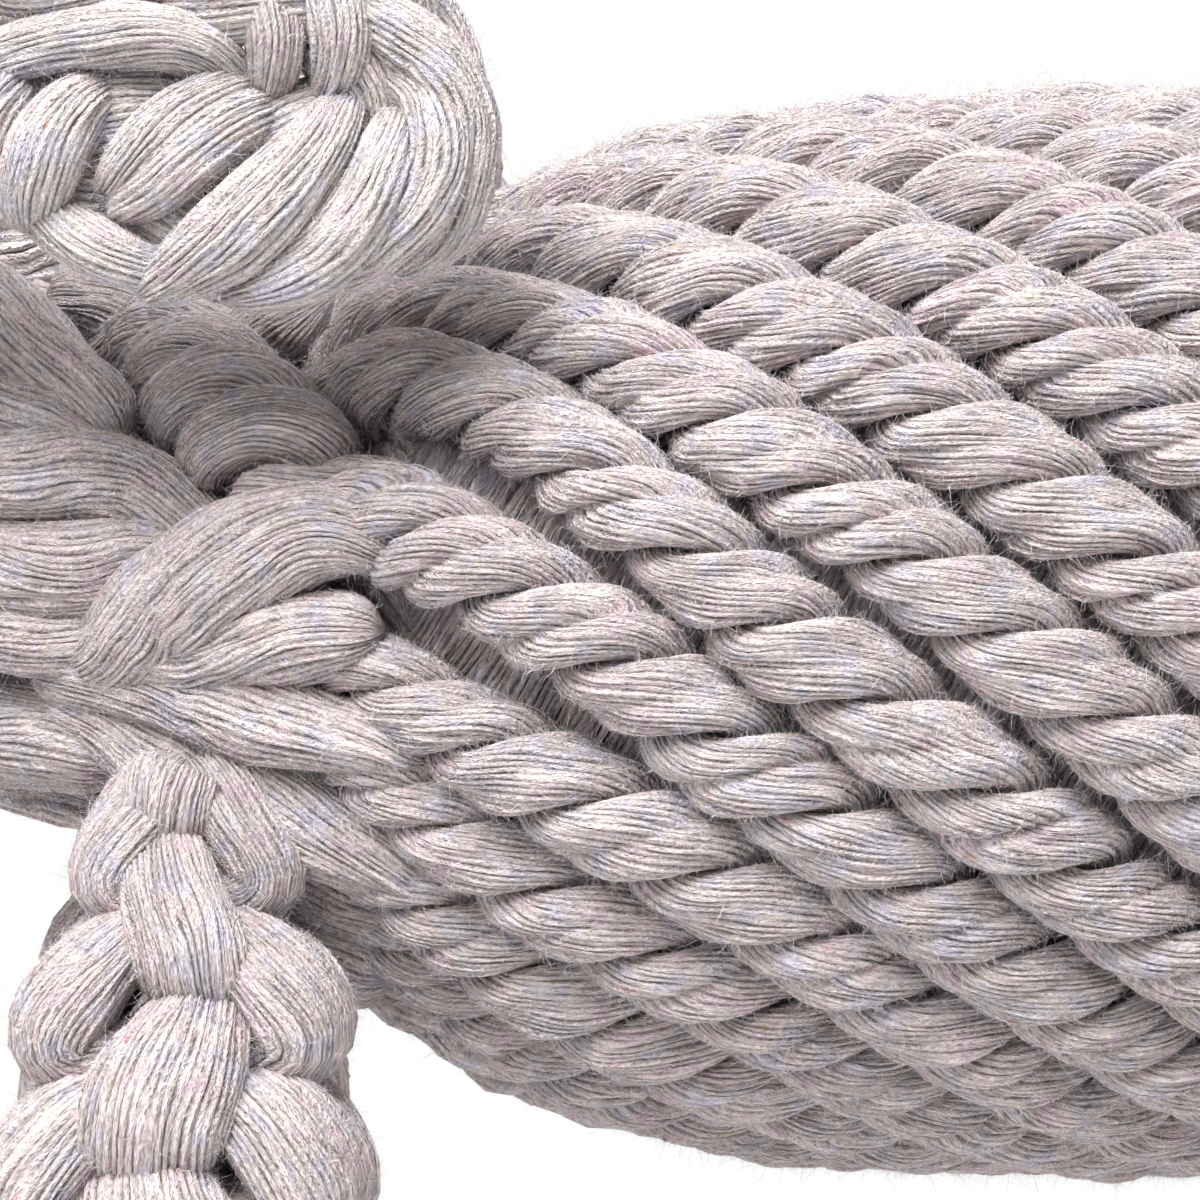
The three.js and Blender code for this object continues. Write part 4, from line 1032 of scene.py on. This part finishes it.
# Rows: place along the toy, height, how far the bundle stands out of the ear, half its width
EAR_LOBES = [
    [[-80.6, 37.5, 0, 1.5], [-76.7, 38.9, 1.4, 2.1], [-72.2, 39.8, 2.2, 2.3],
     [-67.6, 39.9, 2.4, 2.3], [-63.4, 38.9, 1.8, 2], [-60.6, 36.9, 0, 1.2]],
    [[-75.4, 37.5, 0.2, 1.4], [-77.4, 35.2, 2.2, 2.3], [-79, 32.2, 2.8, 2.5],
     [-80, 29.3, 1.6, 2], [-80.6, 27.4, -0.2, 1.2]],
    [[-75.1, 30.6, -0.6, 1.2], [-73.2, 28, 1.4, 1.8], [-70.6, 26.1, 2.2, 2.1],
     [-67.6, 24.8, 1.6, 1.8], [-64.4, 24.3, -0.6, 1.2]],
    [[-69.6, 36.8, 0.2, 1.2], [-71.4, 35.4, 2.2, 2.2], [-73.2, 32.9, 3.2, 2.7],
     [-74.3, 30.2, 2.8, 2.5], [-74.9, 27.6, 0.8, 1.7]],
    [[-60.1, 37.3, -0.8, 1.1], [-62.1, 36.3, 1.4, 1.8], [-65, 34.3, 2.8, 2.2],
     [-67.6, 31.9, 2.6, 2.2], [-69.7, 29.8, 0.6, 1.4]],
    [[-59, 35.4, -0.4, 1.1], [-61, 34.1, 2, 2], [-63.6, 31.9, 3, 2.4],
     [-66.3, 29.6, 2.2, 2.2], [-69.1, 28, 0, 1.4]],
    [[-53.6, 35.4, -0.2, 1.4], [-55.1, 32.9, 2.6, 2.5], [-57.8, 29.5, 3.8, 3.1],
     [-61.1, 26.5, 3.6, 3], [-64.4, 24.6, 2.4, 2.3], [-67.5, 23.1, 0.2, 1.1]],
    [[-50.2, 35, -0.2, 1.2], [-50.8, 31.9, 2.6, 2.2], [-52.5, 28.3, 3.4, 2.5],
     [-55.4, 25.2, 2.8, 2.3], [-59, 23.4, 1.6, 1.7], [-62.1, 22.6, -0.4, 0.9]],
    [[-51, 37.3, 0.2, 1.4], [-48.7, 35.4, 2, 2], [-47.7, 31.9, 2.8, 2.3],
     [-48.9, 28.3, 2.4, 2.2], [-51.3, 25.7, 1.2, 1.8], [-54.3, 23.9, -0.8, 1.2]],
    [[-54.6, 43.3, -0.4, 1.5], [-51.3, 41, 1, 2.2], [-48.1, 38.4, 1.6, 2.4],
     [-46, 34.5, 1.6, 2.4], [-46, 30.3, 1.2, 2.3], [-47.9, 26.7, 0.4, 2.1],
     [-51, 24.6, -0.8, 1.5]],
    [[-59.5, 45.3, 0, 1.8], [-59, 42.7, 1.8, 2.2], [-58.5, 40.1, 2.2, 2.2],
     [-58.6, 37.8, 1.2, 1.8], [-59, 35.9, -1.4, 1.2]],
    [[-55.4, 45.3, 0, 1.8], [-54.6, 42.3, 2, 2.3], [-54.1, 39.7, 2.2, 2.2],
     [-54.3, 37.5, 1, 1.8], [-55.1, 35.5, -1.4, 1.2]]]


print("bundles over the plait of an ear:", len(EAR_LOBES))

# %% Two ears
def ear_bundles(seed, side, near):
    knots = [[EAR_ROOT_X + row[0] * EAR_LONG, side * row[1] * EAR_OUT,
              EAR_ROOT_Z + row[2] * EAR_HIGH, row[3]] for row in EAR_SHARES]
    curve = smooth_line(knots, 600)
    line, share = curve[:, :3], curve[:, 3]
    places, line, share = evenly(line, 0.5, share)
    along = unit(np.gradient(line, axis=0))
    thin = unit(np.array([0, float(side), 0]) - along * (along[:, 1] * side)[:, None])
    broad = np.cross(along, thin)
    covered = np.clip((line[:, 0] + 84) / 8, 0, 1) * np.clip((44 - line[:, 2]) / 4, 0, 1)
    bundles = []
    for k in range(3):
        turn = 2 * np.pi * (places / EAR_CYCLE + k / 3) + EAR_PHASE
        rise = (2.1 - 0.9 * covered) * np.sin(2 * turn) - 1.6 * covered
        strand = line + broad * (3.3 * share * np.sin(turn))[:, None] + thin * rise[:, None]
        bundles.append(yarn_bundle(
            np.random.default_rng(seed + k), strand, thin, 3.8 * share, 2.7 * share**0.5,
            pitch=0.48 if near else 0.95, step=0.85 if near else 1.7, cap=1.5, crease=0.4,
            lump=0.12, twist=3, inner=line))
    ear_x = [EAR_ROOT_X + row[0] * EAR_LONG for row in EAR_SHARES[:7]]
    ear_y = [row[1] * EAR_OUT for row in EAR_SHARES[:7]]
    for k, lobe in enumerate(EAR_LOBES):
        x, z, lift, half = smooth_line(lobe, 160).T
        middle = np.stack([x, side * np.interp(x, ear_x, ear_y), z], 1)
        outward = np.broadcast_to([0.0, side, 0.0], middle.shape)
        bundles.append(yarn_bundle(
            np.random.default_rng(seed + 10 + k), middle + outward * lift[:, None], outward,
            half, np.minimum(3.1, 0.5 + 0.8 * half), pitch=0.48 if near else 0.95,
            step=0.6 if near else 1.5, cap=1.6, crease=0.4, lump=0.2, twist=side * (k % 3 - 1) * 5,
            inner=middle, grooves=[(np.pi / 2 + 0.2, 0.14, 0.3)] if near and k % 2 else ()))
    return bundles


for side_name, side, near in (("left", -1, True), ("right", 1, False)):
    make_piece(f"ear_{side_name}_plait", ear_bundles(700, side, near), ear_cotton,
               f"ear_{side_name}", [f"ear_{side_name}"],
               fuzz=SIDE_FUZZ[near])
print("faces so far:", sum(faces_made))

# %% [markdown]
# ## Head, rump and tail
# These are round plaits: as many bundles wind one way as the other, and each goes over one and
# under the next. The head's plait is drawn in to a nose, the rump's closes the barrel and the
# tail's is thin and bends upwards.

# %% Round plait
def round_plait(seed, middle, first, second, wide, high, count, thick, pitch=0.95, slope=1.0,
                start_turn=0.0, step=1.7, cap=2.0):
    """A round plait of count bundles each way round a middle line, wide along first."""
    radius = np.sqrt(wide * high)
    run = lengths_along(middle + first * radius[:, None])
    turn = np.concatenate([[0], np.cumsum(np.diff(run) * slope * 2 / (radius[1:] + radius[:-1]))])
    bundles = []
    for way in (1, -1):
        for k in range(count):
            angle = way * turn + 2 * np.pi * k / count + start_turn
            over = way * np.cos(count * turn) * thick * 0.42
            cos, sin = np.cos(angle)[:, None], np.sin(angle)[:, None]
            level = (over - thick * 0.55)[:, None]
            line = (middle + first * cos * (wide[:, None] + level)
                    + second * sin * (high[:, None] + level))
            out = first * cos / wide[:, None] + second * sin / high[:, None]
            half = np.minimum(0.53 * 2 * np.pi * radius / count * 0.707, 9.5)
            bundles.append(yarn_bundle(
                np.random.default_rng(seed + 31 * k + way), line, out, half,
                thick * np.clip(half / 5, 0.55, 1) * 0.62, pitch=pitch, step=step, cap=cap,
                crease=0.4, lump=0.15, twist=3 * way, inner=middle))
    return bundles


print("plait maker ready")

# %% Head
# Rows: share of the way to the nose, how high the middle line lies, half width and half height
HEAD_SHARES = [[-0.06, 0.3, 0.46, 0.48], [0, 0.34, 0.54, 0.56], [0.07, 0.48, 0.72, 0.76],
               [0.19, 0.72, 0.88, 0.94], [0.34, 0.88, 0.96, 1.02], [0.48, 0.86, 0.9, 0.94],
               [0.59, 0.68, 0.76, 0.76], [0.7, 0.54, 0.66, 0.62], [0.84, 0.46, 0.62, 0.58],
               [0.94, 0.42, 0.54, 0.52], [1, 0.4, 0.42, 0.42], [1.09, 0.4, 0.33, 0.33]]
HEAD_ROOT_X, HEAD_LONG, HEAD_HALF = -86.4, 60, 25


def sideways(line):
    return np.broadcast_to(np.array([0, 1.0, 0]), line.shape)


table = smooth_rows(HEAD_SHARES, np.linspace(-0.06, 1.09, 220))
head_line = along_x(HEAD_ROOT_X - HEAD_LONG * table[:, 0], HEAD_HALF * table[:, 1])
make_piece("head_round_plait", round_plait(
    800, head_line, sideways(head_line), up_like(head_line), HEAD_HALF * table[:, 2],
    HEAD_HALF * table[:, 3], count=6, thick=5.2,
    start_turn=0.26), strand_cotton[False], "head", ["head_plait"],
    fuzz=END_FUZZ)
nose = np.array([-150.3, 0, 10.0])
make_piece("nose_cord_tie", [tied_cord(801, nose, [1, 0, 0], radius=8.3)], tie_cotton, "head",
           ["nose_tie"], fuzz=END_FUZZ)
make_piece("nose_cut_end", cut_tuft(
    802, nose - [2.6, 0, 0], [-1, 0, 0], length=8.2, waist=7.6, flare=10.0, count=48),
           cut_cotton, "head", ["nose_end"], fuzz=END_FUZZ)

print("faces so far:", sum(faces_made))

# %% Rump
crown_x = np.linspace(50.5, 77.2, 120)
crown_radius = np.maximum(barrel_radius(np.minimum(crown_x, 74.9)), 8.5) + 0.6
crown_line = along_x(crown_x)
make_piece("rump_round_plait", round_plait(
    820, crown_line, sideways(crown_line), up_like(crown_line), crown_radius, crown_radius,
    count=8, thick=5.6), strand_cotton[False], "body",
    ["rump_crown"], fuzz=END_FUZZ)

print("faces so far:", sum(faces_made))

# %% Tail
# Rows: shares of the reach backwards and of the rise
TAIL_SHARES = [[0, 0], [0.26, 0], [0.5, 0.12], [0.77, 0.4], [0.93, 0.75], [1, 1]]
TAIL_ROOT_X, TAIL_REACH, TAIL_RISE = 77.4, 31, 33
tail_way = smooth_line([[TAIL_ROOT_X + TAIL_REACH * reach, 0, TAIL_RISE * rise]
                        for reach, rise in TAIL_SHARES], 200)
tail_along = unit(tail_way[-1] - tail_way[-6])
tail_way = np.vstack([tail_way, tail_way[-1] + tail_along * np.linspace(0.4, 8, 20)[:, None]])
run = lengths_along(tail_way)
tail_radius = np.interp(run, [0, 1, 3, 8, run[-1] - 9, run[-1] - 6.5, run[-1]],
                        [2.5, 4.5, 6.6, 8, 8, 6, 5.8])
tail_out = unit(np.gradient(tail_way, axis=0))
tail_side = sideways(tail_way)
make_piece("tail_round_plait", round_plait(
    840, tail_way, tail_side, np.cross(tail_out, tail_side), tail_radius, tail_radius,
    count=4, thick=3.4), strand_cotton[False], "tail", ["tail_plait"],
    fuzz=END_FUZZ)
tail_tie = tail_way[-1] - tail_along * 3.9
make_piece("tail_cord_tie", [tied_cord(841, tail_tie, tail_along, radius=6.2)], tie_cotton, "tail",
           ["tail_tie"], fuzz=END_FUZZ)
make_piece("tail_cut_end", cut_tuft(
    842, tail_tie + tail_along * 2.5, tail_along, length=19.3, waist=5.6, flare=8.6, count=40),
    cut_cotton, "tail", ["tail_tuft"], fuzz=0.6)
print("faces so far:", sum(faces_made))

# %% [markdown]
# ## Fuzz
# Combed cotton sheds short fibres everywhere, and against the dark gaps they are the first thing
# one sees. A cotton fibre is a flat ribbon, so each is one: a bent ribbon a quarter of a
# millimetre to two long, growing from the back of a yarn and lying mostly along the strand.

# %% Loose fibres
def fuzz_finish():
    finish, tree = empty_finish("loose fibres")
    place = wire(tree, "ShaderNodeTexCoord").outputs["Object"]
    colour = ramp(tree, noise(tree, place, 900.0, 2.0), [(0.35, (0.5, 0.46, 0.47)),
                                                         (0.65, (0.85, 0.81, 0.82))])
    tint = ramp(tree, noise(tree, place, 2600.0, 0.0), [
        (0.0, (1, 1, 1)), (0.7, (0.35, 0.55, 1)), (0.72, (1, 1, 1)), (0.76, (1, 0.5, 0.4))],
        "CONSTANT")
    colour = mixed(tree, 0.7, colour, tint, "MULTIPLY")
    shader = wire(tree, "ShaderNodeBsdfPrincipled", Roughness=0.9,
                  **{"Base Color": colour, "Specular IOR Level": 0.1})
    shown_by(tree, shader)
    return finish


FIBRE_LENGTHS, FIBRE_HALF_WIDTHS, FIBRE_JOINTS = (0.25, 2.2), (0.007, 0.014), 3


def fuzz_mesh(name, roots, rng):
    place, normal, along = roots[:, :3], roots[:, 3:6], roots[:, 6:9]
    count = len(roots)
    length = np.clip(rng.gamma(2.0, 0.34, count), *FIBRE_LENGTHS)
    way = unit(normal * rng.uniform(0.05, 0.7, count)[:, None]
               + along * rng.normal(size=count)[:, None] * 0.8 + rng.normal(size=(count, 3)) * 0.5)
    bend = rng.normal(size=(count, 3)) * 0.7
    points = [place]
    for j in range(1, FIBRE_JOINTS):
        way = unit(way + bend + rng.normal(size=(count, 3)) * 0.3)
        lift = (normal * way).sum(1, keepdims=True)
        way = way + normal * np.where(lift < 0.0, 0.05 - lift, 0)
        points.append(points[-1] + way * (length / (FIBRE_JOINTS - 1))[:, None])
    points = np.stack(points, 1)
    along = unit(np.gradient(points, axis=1))
    side = unit(np.cross(along, rng.normal(size=(count, 1, 3))))
    thick = rng.uniform(*FIBRE_HALF_WIDTHS, count)[:, None] * np.array([1, 0.85, 0.3])
    edges = np.stack([points - side * thick[..., None], points + side * thick[..., None]], 2)
    base = (np.arange(count) * FIBRE_JOINTS * 2)[:, None, None]
    j = np.arange(FIBRE_JOINTS - 1)
    quads = np.stack([j * 2, j * 2 + 1, j * 2 + 3, j * 2 + 2], -1)
    faces = (quads[None] + base).reshape(-1, 4)
    return mesh_of(name, edges.reshape(-1, 3), faces.ravel(), np.arange(0, faces.size, 4))


loose_fibres = fuzz_finish()
for number, (body, roots) in enumerate(sorted(fuzz_roots.items())):
    roots = np.concatenate(roots)
    name = f"fuzz_of_{body}"
    hair = placed(name, fuzz_mesh(name, roots, np.random.default_rng(900 + number)))
    hair.data.materials.append(loose_fibres)
    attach(hair, body)
    faces_made.append(len(hair.data.polygons))
    print(hair.name, len(roots), "fibres")

# %% [markdown]
# ## Studio
# The toy is on white in a soft studio: a large lamp above and in front on the left, two weaker
# ones lower down on the left and right, and a pale ground. The ground keeps the toy's shadow and
# fades to white away from it, but only for rays that show the background, so it adds no light.

# %% Ground
GROUND_RADIUS, RIM_POINTS = 0.28, 96
FADE_FROM, FADE_TO = 0.17, 0.275


def seen_rays(tree):
    """1 for a ray that shows the background: seen straight, in a gloss or through something."""
    rays = wire(tree, "ShaderNodeLightPath")
    return sums(tree, "MAXIMUM", rays.outputs["Is Camera Ray"],
                sums(tree, "MAXIMUM", rays.outputs["Is Glossy Ray"],
                     rays.outputs["Is Transmission Ray"]))


def ground_finish():
    finish, tree = empty_finish("white studio ground")
    place = wire(tree, "ShaderNodeTexCoord").outputs["Object"]
    away = wire(tree, "ShaderNodeVectorMath", {"operation": "LENGTH"}, i0=place).outputs["Value"]
    fade = wire(tree, "ShaderNodeMapRange", {"interpolation_type": "SMOOTHSTEP"}, Value=away,
                i1=FADE_FROM, i2=FADE_TO, i3=0.0, i4=1.0).outputs[0]
    grain = ramp(tree, noise(tree, place, 500.0, 3.0), [(0.3, (0.69, 0.69, 0.69)),
                                                       (0.7, (0.73, 0.73, 0.73))])
    fade = sums(tree, "MULTIPLY", fade, seen_rays(tree))
    paper = wire(tree, "ShaderNodeBsdfDiffuse", Color=grain)
    white = wire(tree, "ShaderNodeEmission", Strength=1.0)
    both = wire(tree, "ShaderNodeMixShader", i0=fade, i1=paper.outputs[0], i2=white.outputs[0])
    shown_by(tree, both)
    return finish


rim = [(GROUND_RADIUS * math.cos(t), GROUND_RADIUS * math.sin(t), 0)
       for t in np.linspace(0, 2 * math.pi, RIM_POINTS + 1)[:-1]]
ground_mesh = bpy.data.meshes.new("studio_ground")
ground_mesh.from_pydata(rim, [], [tuple(range(RIM_POINTS))])
ground = placed("studio_ground", ground_mesh, (0, 0, -0.0005))
ground.data.materials.append(ground_finish())
ground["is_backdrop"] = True
print("ground radius", GROUND_RADIUS, "m")

# %% Light
LAMP_AIM = (0, 0, 0.08)
LAMPS = [("key_lamp", (-0.2, -0.5, 0.75), 0.75, 15.0),
         ("front_lamp", (-0.4, -0.8, 0.3), 0.5, 2.0),
         ("side_lamp", (0.75, -0.55, 0.35), 0.5, 1.0),
         ("back_lamp", (0.3, 0.7, 0.55), 0.6, 4.0)]
SHADE_LEVEL = 0.13


def lamp(name, place, size, watts):
    data = bpy.data.lights.new(name, "AREA")
    data.shape, data.size, data.energy = "DISK", size, watts
    light = placed(name, data, place)
    to = np.array(LAMP_AIM) - np.array(place)
    light.rotation_euler = Vector(to).to_track_quat("-Z", "Y").to_euler()


for name, place, size, watts in LAMPS:
    lamp(name, place, size, watts)

world = bpy.data.worlds.new("white studio")
bpy.context.scene.world = world
world.use_nodes = True
tree = world.node_tree
tree.nodes.clear()
level = sums(tree, "MULTIPLY_ADD", seen_rays(tree), 1 - SHADE_LEVEL)
level.node.inputs[2].default_value = SHADE_LEVEL
background = wire(tree, "ShaderNodeBackground", Color=(1, 1, 1, 1), Strength=level)
shown_by(tree, background, "ShaderNodeOutputWorld")
bpy.context.scene.view_settings.view_transform = "Standard"
print("faces in all:", sum(faces_made))

# %% Bounds of the parts and of the toy
toy_low, toy_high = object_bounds()
boxes = {"cad": [cad_low, cad_high], "toy": [toy_low, toy_high]}
boxes = {name: [[float(v) for v in corner] for corner in box] for name, box in boxes.items()}
print("boxes:", boxes)
